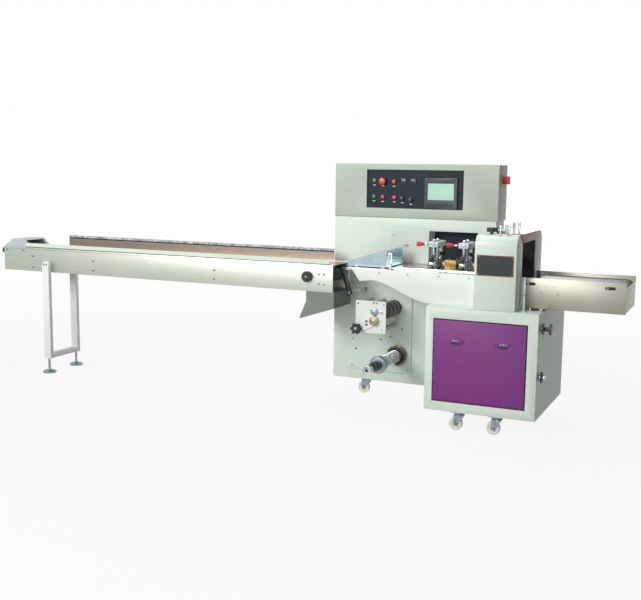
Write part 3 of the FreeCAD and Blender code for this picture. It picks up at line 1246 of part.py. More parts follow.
def seal_jaws():
    """Two jaw shafts across the mouth, each with a pair of crimping bars."""
    y0 = SHELL_FRONT_DEPTH
    y1 = SHELL_REAR_Y
    x = SHELL_X + SHELL_LENGTH / 2
    jaws = []
    middle = LINE_Z + JAW_MEET_LIFT
    for side in (-1, 1):
        z = middle + side * (JAW_REACH + JAW_GAP / 2)
        shaft = rod(x, y0, z, Y_AXIS, y1 - y0, JAW_SHAFT_R)
        bar = box(x - JAW_REACH, x + JAW_REACH, y0 + 30, y1 - 30, z - JAW_WIDTH / 2, z + JAW_WIDTH / 2)
        jaws.append(joined([shaft, rounded(bar, Y_AXIS, 5)]))
    return Part.makeCompound(jaws)


def name_plate():
    """The bare name plate on the front cheek."""
    plate = box(PLATE_X, PLATE_X + PLATE_WIDTH, -PLATE_T, 0, PLATE_Z, PLATE_Z + PLATE_HEIGHT)
    return rounded(plate, Y_AXIS, 3)


# ---------------------------------------------------------------- discharge conveyor
DISCHARGE_Y0 = LINE_Y - DISCHARGE_WIDTH / 2
DISCHARGE_Y1 = LINE_Y + DISCHARGE_WIDTH / 2
DISCHARGE_TOP_Z = DISCHARGE_Z + DISCHARGE_HEIGHT
BELT_TOP_Z = DISCHARGE_TOP_Z - BELT_DROP
BELT_AXIS_Z = BELT_TOP_Z - BELT_T - BELT_ROLLER_R


def discharge_sides():
    """Two folded side plates and the plate that closes the far end below the belt."""
    sides = []
    for side in (-1, 1):
        outer = DISCHARGE_Y0 if side < 0 else DISCHARGE_Y1
        web = sorted((outer, outer - side * DISCHARGE_SHEET))
        lip = sorted((outer, outer - side * DISCHARGE_FLANGE))
        sides.append(joined([
            box(DISCHARGE_X, DISCHARGE_END_X, web[0], web[1], DISCHARGE_Z, DISCHARGE_TOP_Z),
            box(DISCHARGE_X, DISCHARGE_END_X, lip[0], lip[1], DISCHARGE_Z, DISCHARGE_Z + DISCHARGE_SHEET)]))
    inset = DISCHARGE_SHEET + FIT_GAP
    low = DISCHARGE_Z + DISCHARGE_SHEET + FIT_GAP
    sides.append(box(DISCHARGE_END_X - DISCHARGE_SHEET, DISCHARGE_END_X, DISCHARGE_Y0 + inset,
                     DISCHARGE_Y1 - inset, low, BELT_TOP_Z - 8))
    return Part.makeCompound(sides)


def discharge_belt():
    """The belt's fixed loop between the side plates."""
    inset = DISCHARGE_SHEET + BELT_SIDE_GAP
    end = BELT_ROLLER_R + BELT_T + DISCHARGE_SHEET + 4
    return belt_loop(DISCHARGE_X + end, DISCHARGE_END_X - end, BELT_AXIS_Z, BELT_ROLLER_R, BELT_T,
                     DISCHARGE_Y0 + inset, DISCHARGE_Y1 - inset)


def discharge_rollers():
    """The discharge's two end rollers inside the belt, on shafts that reach the side plates."""
    end = BELT_ROLLER_R + BELT_T + DISCHARGE_SHEET + 4
    wall = DISCHARGE_WIDTH / 2 - DISCHARGE_SHEET - FIT_GAP
    face = DISCHARGE_WIDTH / 2 - DISCHARGE_SHEET - BELT_SIDE_GAP - 1
    radius = BELT_ROLLER_R - FIT_GAP
    profile = ((-wall, 10), (-face, 10), (-face, radius), (face, radius), (face, 10), (wall, 10))
    return [turned(profile, x, LINE_Y, BELT_AXIS_Z, Y_AXIS)
            for x in (DISCHARGE_X + end, DISCHARGE_END_X - end)]


def conveyor_rollers():
    """The four end rollers of the two conveyors."""
    return Part.makeCompound(infeed_rollers() + discharge_rollers())


def discharge_posts():
    """Bright stand-offs that carry the conveyor on the cabinet top, and the strips beside the housing."""
    posts = []
    height = DISCHARGE_Z - CABINET_TOP_Z
    inset = DISCHARGE_FLANGE / 2
    for place in DISCHARGE_POST_PLACES:
        for y in (DISCHARGE_Y0 + inset, DISCHARGE_Y1 - inset):
            posts.append(rod(DISCHARGE_X + place, y, CABINET_TOP_Z, Z_AXIS, height, DISCHARGE_POST_R))
    x0 = SHELL_X + SHELL_LENGTH + GUARD_TOP_T + FIT_GAP
    for y in (DISCHARGE_Y0, DISCHARGE_Y1 - STRIP_T):
        posts.append(box(x0, DISCHARGE_X - FIT_GAP, y, y + STRIP_T, CABINET_TOP_Z, DISCHARGE_TOP_Z))
    return Part.makeCompound(posts)


# ---------------------------------------------------------------- nodes
def make_nodes():
    """Every named piece of the machine."""
    nodes = {}
    pieces = (rear_body, control_box, control_panel, touch_screen, panel_controls,
              main_switch_plate, main_switch_handle, column_guard, cabinet_panels, cabinet_front,
              cabinet_door, door_latches, caster_forks, work_table, table_fascia, film_rails,
              infeed_sides, infeed_arm, infeed_bed, infeed_guides, infeed_chain, tail_cover,
              tail_knob, infeed_handwheel, crumb_chute, leg_stand, levelling_feet, film_plate,
              roller_plate, tie_rods, feed_roller, guide_roller, film_star_knob, reel_hub, reel_shaft,
              film_guide_arm, former, seal_units, seal_wheels, heater_block,
              seal_shell_front, seal_shell_rear, seal_guard, seal_posts, shell_knob, seal_jaws,
              name_plate, discharge_sides, discharge_belt, discharge_posts, conveyor_rollers)
    for piece in pieces:
        nodes[piece.__name__] = piece()
    nodes["side_knob_upper"] = side_knob(SIDE_KNOB_UPPER_Z, SIDE_KNOB_REACH, SIDE_KNOB_R, 2)
    nodes["side_knob_lower"] = side_knob(SIDE_KNOB_LOWER_Z, SIDE_KNOB_LOWER_REACH, SIDE_KNOB_LOWER_R, 1)
    for number, place in enumerate(CASTER_PLACES, start=1):
        nodes["caster_wheel_%d" % number] = caster_wheel(place)
    return nodes


os.makedirs("parts", exist_ok=True)
for node_name, node_shape in make_nodes().items():
    placed = node_shape.copy()
    placed.translate(ORIGIN_SHIFT)
    placed.exportStep("parts/%s.step" % node_name)
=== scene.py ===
# Finishes and fine detail for a horizontal flow wrapper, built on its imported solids.
# Every size in the classes is in millimetres from the machine's datum: the left face of the
# control box, the front face of the cabinet and the floor.
import logging
import math
from dataclasses import dataclass
from enum import Enum
from typing import Any, Iterable, Optional, Sequence

import bmesh
import bpy
from mathutils import Matrix, Vector


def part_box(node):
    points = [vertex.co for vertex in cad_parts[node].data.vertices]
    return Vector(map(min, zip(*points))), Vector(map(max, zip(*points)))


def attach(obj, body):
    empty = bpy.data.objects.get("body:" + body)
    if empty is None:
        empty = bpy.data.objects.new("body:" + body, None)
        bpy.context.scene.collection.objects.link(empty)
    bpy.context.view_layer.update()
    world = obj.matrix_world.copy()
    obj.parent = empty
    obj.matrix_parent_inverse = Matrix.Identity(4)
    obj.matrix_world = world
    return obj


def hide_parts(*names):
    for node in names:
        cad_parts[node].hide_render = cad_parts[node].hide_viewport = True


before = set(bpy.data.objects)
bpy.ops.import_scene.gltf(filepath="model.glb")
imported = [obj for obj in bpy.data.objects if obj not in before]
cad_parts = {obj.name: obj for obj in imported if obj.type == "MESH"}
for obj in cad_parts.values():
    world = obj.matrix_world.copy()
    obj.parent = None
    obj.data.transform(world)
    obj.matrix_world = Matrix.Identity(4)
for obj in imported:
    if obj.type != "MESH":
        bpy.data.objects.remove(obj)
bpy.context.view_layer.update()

LOG = logging.getLogger("flow_wrapper")
MM = 0.001
SHARP_ANGLE = math.radians(33)
WELD = 1e-6

Triple = tuple[float, float, float]


# ---------------------------------------------------------------- colours and nodes
def linear(code: str) -> tuple[float, float, float, float]:
    """Turns an sRGB hex value into a linear colour.

    Args:
        code: a hash and six hex digits.

    Returns:
        Red, green, blue and alpha for a shader socket.
    """
    parts = [int(code[at:at + 2], 16) / 255 for at in (1, 3, 5)]
    red, green, blue = (p / 12.92 if p <= 0.04045 else ((p + 0.055) / 1.055) ** 2.4 for p in parts)
    return red, green, blue, 1.0


def add_node(tree: bpy.types.NodeTree, kind: str, values: Optional[dict] = None,
             links: Optional[dict] = None, **settings: Any) -> bpy.types.Node:
    """Adds one node with its settings, socket values and incoming links.

    Args:
        tree: the node tree.
        kind: the node's Blender type.
        values: socket name or number to value.
        links: socket name or number to the output that feeds it.
        settings: attributes of the node itself.

    Returns:
        The node.
    """
    node = tree.nodes.new(kind)
    for name, value in settings.items():
        setattr(node, name, value)
    for socket, value in (values or {}).items():
        node.inputs[socket].default_value = value
    for socket, output in (links or {}).items():
        tree.links.new(output, node.inputs[socket])
    return node


# ---------------------------------------------------------------- finishes
@dataclass(frozen=True)
class Finish:
    """A surface finish that makes its own node material, named after the real one."""

    title: str
    colour: str
    roughness: float

    def material(self) -> bpy.types.Material:
        """Gives the finish's material, made once.

        Returns:
            The material.
        """
        found = bpy.data.materials.get(self.title)
        if found is not None:
            return found
        made = bpy.data.materials.new(self.title)
        made.use_nodes = True
        tree = made.node_tree
        tree.nodes.clear()
        shader = add_node(tree, "ShaderNodeBsdfPrincipled",
                          {"Base Color": linear(self.colour), "Roughness": self.roughness})
        add_node(tree, "ShaderNodeOutputMaterial", links={"Surface": shader.outputs[0]})
        place = add_node(tree, "ShaderNodeTexCoord").outputs["Object"]
        self.dress(tree, shader, place)
        return made

    def dress(self, tree: bpy.types.NodeTree, shader: bpy.types.Node,
              place: bpy.types.NodeSocket) -> None:
        """Adds the finish's own pattern; a plain finish has none.

        Args:
            tree: the material's node tree.
            shader: its Principled shader.
            place: the Object coordinates.
        """

    def noise(self, tree: bpy.types.NodeTree, place: bpy.types.NodeSocket, grain_mm: float,
              detail: float = 3.0, stretch: Optional[Triple] = None) -> bpy.types.NodeSocket:
        """Makes a noise of a real grain size.

        Args:
            tree: the material's node tree.
            place: the coordinates.
            grain_mm: the size of one grain.
            detail: finer layers added on top.
            stretch: how many times longer the grain is along X, Y and Z.

        Returns:
            The noise's value socket.
        """
        if stretch is not None:
            scale = tuple(1 / s for s in stretch)
            place = add_node(tree, "ShaderNodeMapping", {"Scale": scale},
                             {"Vector": place}).outputs[0]
        node = add_node(tree, "ShaderNodeTexNoise", {"Scale": 1 / (grain_mm * MM), "Detail": detail},
                        {"Vector": place})
        return node.outputs[0]

    def between(self, tree: bpy.types.NodeTree, value: bpy.types.NodeSocket, low: float,
                high: float, start: float = 0.3, end: float = 0.7) -> bpy.types.NodeSocket:
        """Maps a pattern's value onto a range.

        Args:
            tree: the material's node tree.
            value: the pattern.
            low: what start becomes.
            high: what end becomes.
            start: the pattern's low value.
            end: the pattern's high value.

        Returns:
            The mapped value's socket.
        """
        node = add_node(tree, "ShaderNodeMapRange",
                        {"From Min": start, "From Max": end, "To Min": low, "To Max": high},
                        {"Value": value})
        return node.outputs[0]

    def blend(self, tree: bpy.types.NodeTree, factor: bpy.types.NodeSocket, first: str,
              second: str) -> bpy.types.NodeSocket:
        """Mixes two colours by a pattern.

        Args:
            tree: the material's node tree.
            factor: 0 gives the first colour and 1 the second.
            first: hex colour.
            second: hex colour.

        Returns:
            The mixed colour's socket.
        """
        node = add_node(tree, "ShaderNodeMix", {6: linear(first), 7: linear(second)},
                        {0: factor}, data_type="RGBA")
        return node.outputs[2]

    def emboss(self, tree: bpy.types.NodeTree, shader: bpy.types.Node,
               height: bpy.types.NodeSocket, depth_mm: float, strength: float = 0.4) -> None:
        """Turns a pattern into fine relief on the shader's normal.

        Args:
            tree: the material's node tree.
            shader: its Principled shader.
            height: the pattern.
            depth_mm: how deep the relief is.
            strength: how much of it shows.
        """
        bump = add_node(tree, "ShaderNodeBump", {"Strength": strength, "Distance": depth_mm * MM},
                        {"Height": height})
        tree.links.new(bump.outputs[0], shader.inputs["Normal"])


@dataclass(frozen=True)
class PowderCoat(Finish):
    """Sprayed and baked powder paint: a faint orange peel and a slow change of tone."""

    shade: str = "#C6D0C8"
    peel_mm: float = 5.0      # real peel is near 1.5 mm, drawn coarser so that it shows
    cloud_mm: float = 420.0
    gloss: float = 0.5

    def dress(self, tree: bpy.types.NodeTree, shader: bpy.types.Node,
              place: bpy.types.NodeSocket) -> None:
        """Adds the clouded tone, uneven gloss and orange peel.

        Args:
            tree: the material's node tree.
            shader: its Principled shader.
            place: the Object coordinates.
        """
        cloud = self.noise(tree, place, self.cloud_mm, 2.0)
        tone = self.blend(tree, self.between(tree, cloud, 0.0, 0.55), self.colour, self.shade)
        tree.links.new(tone, shader.inputs["Base Color"])
        peel = self.noise(tree, place, self.peel_mm, 1.0)
        rough = self.between(tree, peel, self.roughness - 0.04, self.roughness + 0.05)
        tree.links.new(rough, shader.inputs["Roughness"])
        shader.inputs["Specular IOR Level"].default_value = self.gloss
        self.emboss(tree, shader, peel, 0.06, 0.35)


@dataclass(frozen=True)
class BrushedSteel(Finish):
    """Belt-brushed stainless sheet: fine lines along one axis and soft warm patches."""

    warm: str = "#A79F92"
    cool: str = "#8F9690"
    line_mm: float = 3.0      # real brush lines are near 0.2 mm, drawn coarser so that they show
    along: Triple = (90.0, 1.0, 1.0)
    patch_mm: float = 330.0

    def dress(self, tree: bpy.types.NodeTree, shader: bpy.types.Node,
              place: bpy.types.NodeSocket) -> None:
        """Adds the brush lines, the patches and a roughness that follows the lines.

        Args:
            tree: the material's node tree.
            shader: its Principled shader.
            place: the Object coordinates.
        """
        patch = self.between(tree, self.noise(tree, place, self.patch_mm, 1.0, (1.0, 1.0, 2.5)), 0, 1)
        lines = self.noise(tree, place, self.line_mm, 2.0, self.along)
        tinted = self.blend(tree, patch, self.warm, self.cool)
        line_share = self.between(tree, lines, 0.15, 0.85)
        mixed = add_node(tree, "ShaderNodeMix", {6: linear(self.colour)},
                         {0: line_share, 7: tinted}, data_type="RGBA")
        tree.links.new(mixed.outputs[2], shader.inputs["Base Color"])
        rough = self.between(tree, lines, self.roughness - 0.07, self.roughness + 0.08)
        tree.links.new(rough, shader.inputs["Roughness"])
        shader.inputs["Metallic"].default_value = 1.0
        self.emboss(tree, shader, lines, 0.05, 0.3)


@dataclass(frozen=True)
class BrightMetal(Finish):
    """Plated or polished metal with smudges and fine handling marks."""

    smudge: str = "#8E9496"
    smudge_mm: float = 26.0

    def dress(self, tree: bpy.types.NodeTree, shader: bpy.types.Node,
              place: bpy.types.NodeSocket) -> None:
        """Adds the smudges to colour and roughness.

        Args:
            tree: the material's node tree.
            shader: its Principled shader.
            place: the Object coordinates.
        """
        marks = self.noise(tree, place, self.smudge_mm, 4.0)
        share = self.between(tree, marks, 0.0, 1.0, 0.35, 0.7)
        tree.links.new(self.blend(tree, share, self.colour, self.smudge), shader.inputs["Base Color"])
        rough = self.between(tree, marks, self.roughness, self.roughness + 0.12)
        tree.links.new(rough, shader.inputs["Roughness"])
        shader.inputs["Metallic"].default_value = 1.0


@dataclass(frozen=True)
class DarkSteel(Finish):
    """Oiled or blackened steel: brown-black with worn bright spots on its grain."""

    worn: str = "#5A5650"
    grain_mm: float = 9.0
    metal: float = 0.7

    def dress(self, tree: bpy.types.NodeTree, shader: bpy.types.Node,
              place: bpy.types.NodeSocket) -> None:
        """Adds wear spots and a fine grain.

        Args:
            tree: the material's node tree.
            shader: its Principled shader.
            place: the Object coordinates.
        """
        grain = self.noise(tree, place, self.grain_mm, 4.0)
        share = self.between(tree, grain, 0.0, 1.0, 0.52, 0.72)
        tree.links.new(self.blend(tree, share, self.colour, self.worn), shader.inputs["Base Color"])
        shader.inputs["Metallic"].default_value = self.metal
        self.emboss(tree, shader, grain, 0.12, 0.4)


@dataclass(frozen=True)
class Moulded(Finish):
    """Moulded plastic or rubber with a fine spark-eroded grain."""

    tint: str = "#262729"
    grain_mm: float = 2.2     # drawn a little coarser than the real texture
    gloss: float = 0.45
    coat: float = 0.0

    def dress(self, tree: bpy.types.NodeTree, shader: bpy.types.Node,
              place: bpy.types.NodeSocket) -> None:
        """Adds the mould's grain, a faint change of tone and any clear gloss.

        Args:
            tree: the material's node tree.
            shader: its Principled shader.
            place: the Object coordinates.
        """
        grain = self.noise(tree, place, self.grain_mm, 2.0)
        tone = self.between(tree, self.noise(tree, place, 40.0, 2.0), 0.0, 0.6)
        tree.links.new(self.blend(tree, tone, self.colour, self.tint), shader.inputs["Base Color"])
        rough = self.between(tree, grain, self.roughness - 0.05, self.roughness + 0.07)
        tree.links.new(rough, shader.inputs["Roughness"])
        shader.inputs["Specular IOR Level"].default_value = self.gloss
        shader.inputs["Coat Weight"].default_value = self.coat
        self.emboss(tree, shader, grain, 0.05, 0.3)


@dataclass(frozen=True)
class LitGlass(Finish):
    """The terminal's lit glass: a pale green display under a clear pane."""

    edge: str = "#8CBFA9"
    glow: float = 0.12
    row_mm: float = 9.0

    def dress(self, tree: bpy.types.NodeTree, shader: bpy.types.Node,
              place: bpy.types.NodeSocket) -> None:
        """Adds the display's faint rows, its glow and the clear pane.

        Args:
            tree: the material's node tree.
            shader: its Principled shader.
            place: the Object coordinates.
        """
        rows = add_node(tree, "ShaderNodeTexWave", {"Scale": 1 / (self.row_mm * MM) / 6.283,
                                                    "Distortion": 0.0}, {"Vector": place},
                        bands_direction="Z")
        share = self.between(tree, rows.outputs[1], 0.0, 0.22, 0.0, 1.0)
        colour = self.blend(tree, share, self.colour, self.edge)
        tree.links.new(colour, shader.inputs["Base Color"])
        tree.links.new(colour, shader.inputs["Emission Color"])
        shader.inputs["Emission Strength"].default_value = self.glow
        shader.inputs["Coat Weight"].default_value = 0.6
        shader.inputs["Coat Roughness"].default_value = 0.05


class Stock(Enum):
    """Every finish on the machine."""

    BODY = PowderCoat("powder coat pale grey green", "#D6E0D7", 0.42, shade="#CBD7CD")
    # The control box wears the body's powder coat; this darker copy of it is painted shade.
    BOX_PAINTED_SHADE = PowderCoat("body powder coat darkened as painted shade", "#B9C2B8", 0.44, shade="#AEB8AD")
    WHITE = PowderCoat("enamel white", "#E6E9E5", 0.34, shade="#DDE1DD", cloud_mm=260.0)
    HOOD = PowderCoat("hammered grey paint", "#B9C0C3", 0.4, shade="#9AA3A8", cloud_mm=120.0,
                      peel_mm=7.0)
    CHUTE = PowderCoat("baked grey paint", "#767D77", 0.5, shade="#636A66", cloud_mm=160.0)
    PURPLE = PowderCoat("powder coat purple", "#73307C", 0.42, shade="#7C2671", cloud_mm=300.0,
                        gloss=0.3)
    CRIMSON = PowderCoat("gloss enamel crimson", "#A01930", 0.34, shade="#82152C", cloud_mm=90.0,
                         gloss=0.25)
    NAVY = Moulded("textured film dark navy", "#151C26", 0.5, tint="#1B2430", grain_mm=2.6, gloss=0.2)
    BEZEL = Moulded("moulded frame dark slate", "#232C33", 0.36, tint="#2C373D")
    BLACK = Moulded("phenolic black", "#17181A", 0.33, tint="#222325", gloss=0.5)
    GREEN = Moulded("moulded button green", "#1A7A60", 0.28, tint="#15694F", coat=0.4)
    RED = Moulded("moulded button red", "#D43C48", 0.28, tint="#C02E3C", coat=0.4)
    YELLOW = Moulded("moulded plate yellow", "#F0A42A", 0.35, tint="#E69A24")
    GRIP = Moulded("moulded grip red", "#C13128", 0.33, tint="#AF2A24")
    NYLON = Moulded("cast nylon cream", "#EFEBDF", 0.42, tint="#DFDACA", grain_mm=6.0)
    CLEAR = PowderCoat("acrylic sheet misty", "#D9DED8", 0.16, shade="#CCD3CD", cloud_mm=200.0,
                       peel_mm=12.0)
    SKIRT = BrushedSteel("brushed stainless skirt", "#C3C8BF", 0.44, warm="#B3B1A4", cool="#A3ABA3")
    TABLE = BrushedSteel("brushed stainless table", "#B9B3AE", 0.3, warm="#9A8F8C", cool="#8C908F",
                         patch_mm=120.0)
    BED = BrushedSteel("brushed stainless bed", "#A89E95", 0.36, warm="#98836F", cool="#807D79")
    OUTFEED = BrushedSteel("brushed stainless outfeed", "#98988F", 0.38, warm="#A1968A", cool="#777A74")
    FORMER = BrushedSteel("polished former sheet", "#B4C3C8", 0.22, warm="#A0B2B8", cool="#83949A",
                          line_mm=5.0, patch_mm=60.0)
    CHROME = BrightMetal("polished chrome", "#D9DADB", 0.1)
    ZINC = BrightMetal("bright zinc plate", "#9CA8AE", 0.24, smudge="#6C7A82", smudge_mm=14.0)
    BRASS = BrightMetal("turned brass", "#B3925F", 0.28, smudge="#7E6238")
    BRONZE = BrightMetal("dull brass", "#AC9C7C", 0.34, smudge="#7A6E58")
    CHAIN = DarkSteel("oiled chain steel", "#2B2A29", 0.4, worn="#6B6258")
    GUNMETAL = DarkSteel("blackened steel", "#25262A", 0.38, worn="#3C3E44")
    # Jaw steel darkened to near black so the sealing mouth reads dark: painted shade on the real jaws.
    JAW_PAINTED_SHADE = DarkSteel("jaw steel darkened as painted shade", "#0D0E10", 0.5, worn="#1D1E21", metal=0.3)
    RUBBER = Moulded("roller rubber black", "#1B1A1C", 0.5, tint="#2A2426", grain_mm=4.0)
    MAROON = Moulded("roller rubber maroon", "#5E1E2C", 0.42, tint="#481722", grain_mm=4.0)
    BELT = Moulded("conveyor belt black", "#1C1D20", 0.48, tint="#27292C", grain_mm=3.5)
    PLATE = PowderCoat("etched plate dark grey", "#303436", 0.42, shade="#2A2E30", cloud_mm=60.0,
                       gloss=0.25)
    GILT = BrightMetal("gilt border", "#8A5A2B", 0.3, smudge="#6B4321", smudge_mm=20.0)
    GLASS = LitGlass("lit terminal glass", "#A7D3C0", 0.2)
    SHADOW = Moulded("gap shadow black", "#0B0C0D", 0.7, tint="#101112")

    def material(self) -> bpy.types.Material:
        """Gives the finish's material."""
        return self.value.material()


# ---------------------------------------------------------------- places and shapes
class Axis(Enum):
    """The directions that pieces point in."""

    X = (1.0, 0.0, 0.0)
    Y = (0.0, 1.0, 0.0)
    Z = (0.0, 0.0, 1.0)
    MINUS_X = (-1.0, 0.0, 0.0)
    MINUS_Y = (0.0, -1.0, 0.0)

    @property
    def vector(self) -> Vector:
        """The direction as a vector."""
        return Vector(self.value)


@dataclass(frozen=True)
class Span:
    """A node's box in machine millimetres."""

    x0: float
    y0: float
    z0: float
    x1: float
    y1: float
    z1: float

    @property
    def mid(self) -> Triple:
        """The middle of the box."""
        return (self.x0 + self.x1) / 2, (self.y0 + self.y1) / 2, (self.z0 + self.z1) / 2


class Layout:
    """Changes machine millimetres to metres in the frame, from the solids' own boxes."""

    def __init__(self) -> None:
        """Takes the datum from the control box and the cabinet's front."""
        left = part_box("control_box")[0].x
        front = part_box("cabinet_front")[0].y
        self.origin = Vector((left, front, 0.0))

    def at(self, x: float, y: float, z: float) -> Vector:
        """Gives a place in frame metres."""
        return self.origin + Vector((x, y, z)) * MM

    def of(self, node: str) -> Span:
        """Gives a node's box in machine millimetres."""
        low, high = ((corner - self.origin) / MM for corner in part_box(node))
        return Span(low.x, low.y, low.z, high.x, high.y, high.z)


LAYOUT = Layout()
FRONT = Axis.MINUS_Y.vector
BACK = Axis.Y.vector
RIGHT = Axis.X.vector
LEFT = Axis.MINUS_X.vector
UP = Axis.Z.vector


def turn_to(axis: Vector) -> Matrix:
    """Gives the rotation from up to an axis."""
    return Vector((0, 0, 1)).rotation_difference(axis).to_matrix().to_4x4()


def eased(profile: Sequence[tuple[float, float]], size: float) -> list[tuple[float, float]]:
    """Rounds the corners of a turned outline with short chamfers.

    Args:
        profile: (along, radius) pairs.
        size: the chamfer's length on each side of a corner.

    Returns:
        The outline with two points at each corner that has room for them.
    """
    points = [Vector(p) for p in profile]
    result = [profile[0]]
    for before, here, after in zip(points, points[1:], points[2:]):
        back, ahead = before - here, after - here
        room = min(back.length, ahead.length)
        straight = abs(back.angle(ahead, 0.0) - math.pi) < 0.15
        if room < 2.2 * size or straight:
            result.append(tuple(here))
            continue
        result.append(tuple(here + back.normalized() * size))
        result.append(tuple(here + (back.normalized() + ahead.normalized()) * size * 0.29))
        result.append(tuple(here + ahead.normalized() * size))
    result.append(profile[-1])
    return result


def obround(first: float, second: float, level: float, radius: float,
            steps: int = 8) -> list[tuple[float, float]]:
    """Gives the outline of a slot with round ends.

    Args:
        first: the left end's centre.
        second: the right end's centre.
        level: the height of both.
        radius: half the slot's height.
        steps: points in each end.

    Returns:
        The outline's points in order.
    """
    points = []
    for centre, start in ((second, -90.0), (first, 90.0)):
        for step in range(steps + 1):
            turn = math.radians(start + 180.0 * step / steps)
            points.append((centre + radius * math.cos(turn), level + radius * math.sin(turn)))
    return points


def is_sharp(edge: bmesh.types.BMEdge) -> bool:
    """Says whether two faces meet at the edge at more than the sharp angle."""
    return len(edge.link_faces) == 2 and edge.calc_face_angle(0.0) > SHARP_ANGLE


def round_edges(part: bmesh.types.BMesh, edges: Sequence[bmesh.types.BMEdge], size: float,
                segments: int) -> None:
    """Rounds some edges of a shape.

    Args:
        part: the shape.
        edges: the edges to round.
        size: how far the rounding reaches from each edge.
        segments: steps in the rounding.
    """
    bmesh.ops.bevel(part, geom=edges, offset=size, segments=segments, profile=0.5,
                    affect="EDGES", material=-1, clamp_overlap=True)


def spin_round(part: bmesh.types.BMesh, outline: Sequence[Any], segments: int) -> None:
    """Spins an outline once round Z and welds its last step to its first."""
    bmesh.ops.spin(part, geom=outline, cent=(0, 0, 0), axis=(0, 0, 1), dvec=(0, 0, 0),
                   angle=2 * math.pi, steps=segments, use_merge=True)


class Mould:
    """Gathers the shapes of one piece in machine millimetres, each with its finish."""

    def __init__(self, name: str, body: str = "frame") -> None:
        """Starts a piece that rides on a body.

        Args:
            name: the piece's name.
            body: the body it rides on.
        """
        self.name = name
        self.body = body
        self.mesh = bmesh.new()
        self.finishes: list[Stock] = []

    def take(self, part: bmesh.types.BMesh, finish: Stock, outward: bool = True) -> None:
        """Adds a finished shape to the piece.

        Args:
            part: the shape, which is freed.
            finish: what covers it.
            outward: whether its normals are worked out again.
        """
        if finish not in self.finishes:
            self.finishes.append(finish)
        index = self.finishes.index(finish)
        bmesh.ops.remove_doubles(part, verts=part.verts, dist=WELD)
        if outward:
            bmesh.ops.recalc_face_normals(part, faces=part.faces)
        for face in part.faces:
            face.material_index = index
            face.smooth = True
        data = bpy.data.meshes.new("shape")
        part.to_mesh(data)
        part.free()
        self.mesh.from_mesh(data)
        bpy.data.meshes.remove(data)

    def block(self, x0: float, x1: float, y0: float, y1: float, z0: float, z1: float,
              finish: Stock, bevel: float = 0.8, segments: int = 2) -> None:
        """Adds a box between two corners with rounded edges.

        Args:
            x0: the left face.
            x1: the right face.
            y0: the front face.
            y1: the back face.
            z0: the lower face.
            z1: the upper face.
            finish: what covers it.
            bevel: edge rounding.
            segments: steps in the rounding.
        """
        part = bmesh.new()
        bmesh.ops.create_cube(part, size=1.0)
        bmesh.ops.scale(part, vec=(x1 - x0, y1 - y0, z1 - z0), verts=part.verts)
        bmesh.ops.translate(part, vec=((x0 + x1) / 2, (y0 + y1) / 2, (z0 + z1) / 2), verts=part.verts)
        if bevel > 0:
            round_edges(part, part.edges[:], bevel, segments)
        self.take(part, finish)

    def turned(self, profile: Sequence[tuple[float, float]], start: Triple, axis: Vector,
               finish: Stock, segments: int = 40, ease: float = 0.0) -> None:
        """Adds a turned shape.

        Args:
            profile: (along, radius) pairs; the ends are closed to the axis.
            start: where along is 0.
            axis: the direction of the turning axis.
            finish: what covers it.
            segments: faces round the axis.
            ease: length of the chamfer on each corner.
        """
        outline = [(profile[0][0], 0.0), *profile, (profile[-1][0], 0.0)]
        if ease > 0:
            outline = eased(outline, ease)
        part = bmesh.new()
        verts = [part.verts.new((radius, 0.0, along)) for along, radius in outline]
        edges = [part.edges.new(pair) for pair in zip(verts, verts[1:])]
        spin_round(part, verts + edges, segments)
        bmesh.ops.remove_doubles(part, verts=part.verts, dist=WELD)
        bmesh.ops.transform(part, matrix=Matrix.Translation(start) @ turn_to(axis), verts=part.verts)
        self.take(part, finish)

    def rod(self, start: Triple, axis: Vector, length: float, radius: float, finish: Stock,
            segments: int = 28, ease: float = 0.6) -> None:
        """Adds a round bar from a point along an axis."""
        self.turned(((0, radius), (length, radius)), start, axis, finish, segments,
                    min(ease, radius * 0.4, length * 0.4))

    def stack(self, start: Triple, axis: Vector, sections: Sequence[tuple[float, float, Stock]],
              ease: float = 0.8, segments: int = 40) -> None:
        """Adds turned sections one after another.

        Args:
            start: where the first begins.
            axis: the direction of the turning axis.
            sections: length, radius and finish of each.
            ease: chamfer on each section's ends.
            segments: faces round the axis.
        """
        along = 0.0
        for length, radius, finish in sections:
            self.rod(tuple(Vector(start) + axis * along), axis, length, radius, finish, segments, ease)
            along += length

    def knurled(self, start: Triple, axis: Vector, length: float, radius: float, finish: Stock,
                ridges: int = 36) -> None:
        """Adds a disc with ridges round its rim.

        Args:
            start: the middle of the end that it starts from.
            axis: which way it points.
            length: its length.
            radius: its radius over the ridges.
            finish: what covers it.
            ridges: how many ridges.
        """
        ridge = 0.9
        self.rod(start, axis, length, radius - ridge, finish, 40, 1.0)
        side = axis.orthogonal().normalized() * (radius - ridge)
        for step in range(ridges):
            around = Matrix.Rotation(2 * math.pi * step / ridges, 3, axis) @ side
            self.rod(tuple(Vector(start) + axis + around), axis, length - 2, ridge, finish, 6, 0.2)

    def ring(self, centre: Triple, axis: Vector, major: float, minor: float, finish: Stock,
             segments: int = 36, sides: int = 10) -> None:
        """Adds a torus about a point.

        Args:
            centre: its middle.
            axis: which way it points.
            major: the ring's radius.
            minor: its section's radius.
            finish: what covers it.
            segments: faces round the axis.
            sides: faces round the section.
        """
        part = bmesh.new()
        verts = [part.verts.new((major + minor * math.cos(turn), 0.0, minor * math.sin(turn)))
                 for turn in (2 * math.pi * step / sides for step in range(sides))]
        edges = [part.edges.new(pair) for pair in zip(verts, verts[1:] + verts[:1])]
        spin_round(part, verts + edges, segments)
        bmesh.ops.transform(part, matrix=Matrix.Translation(centre) @ turn_to(axis), verts=part.verts)
        self.take(part, finish)

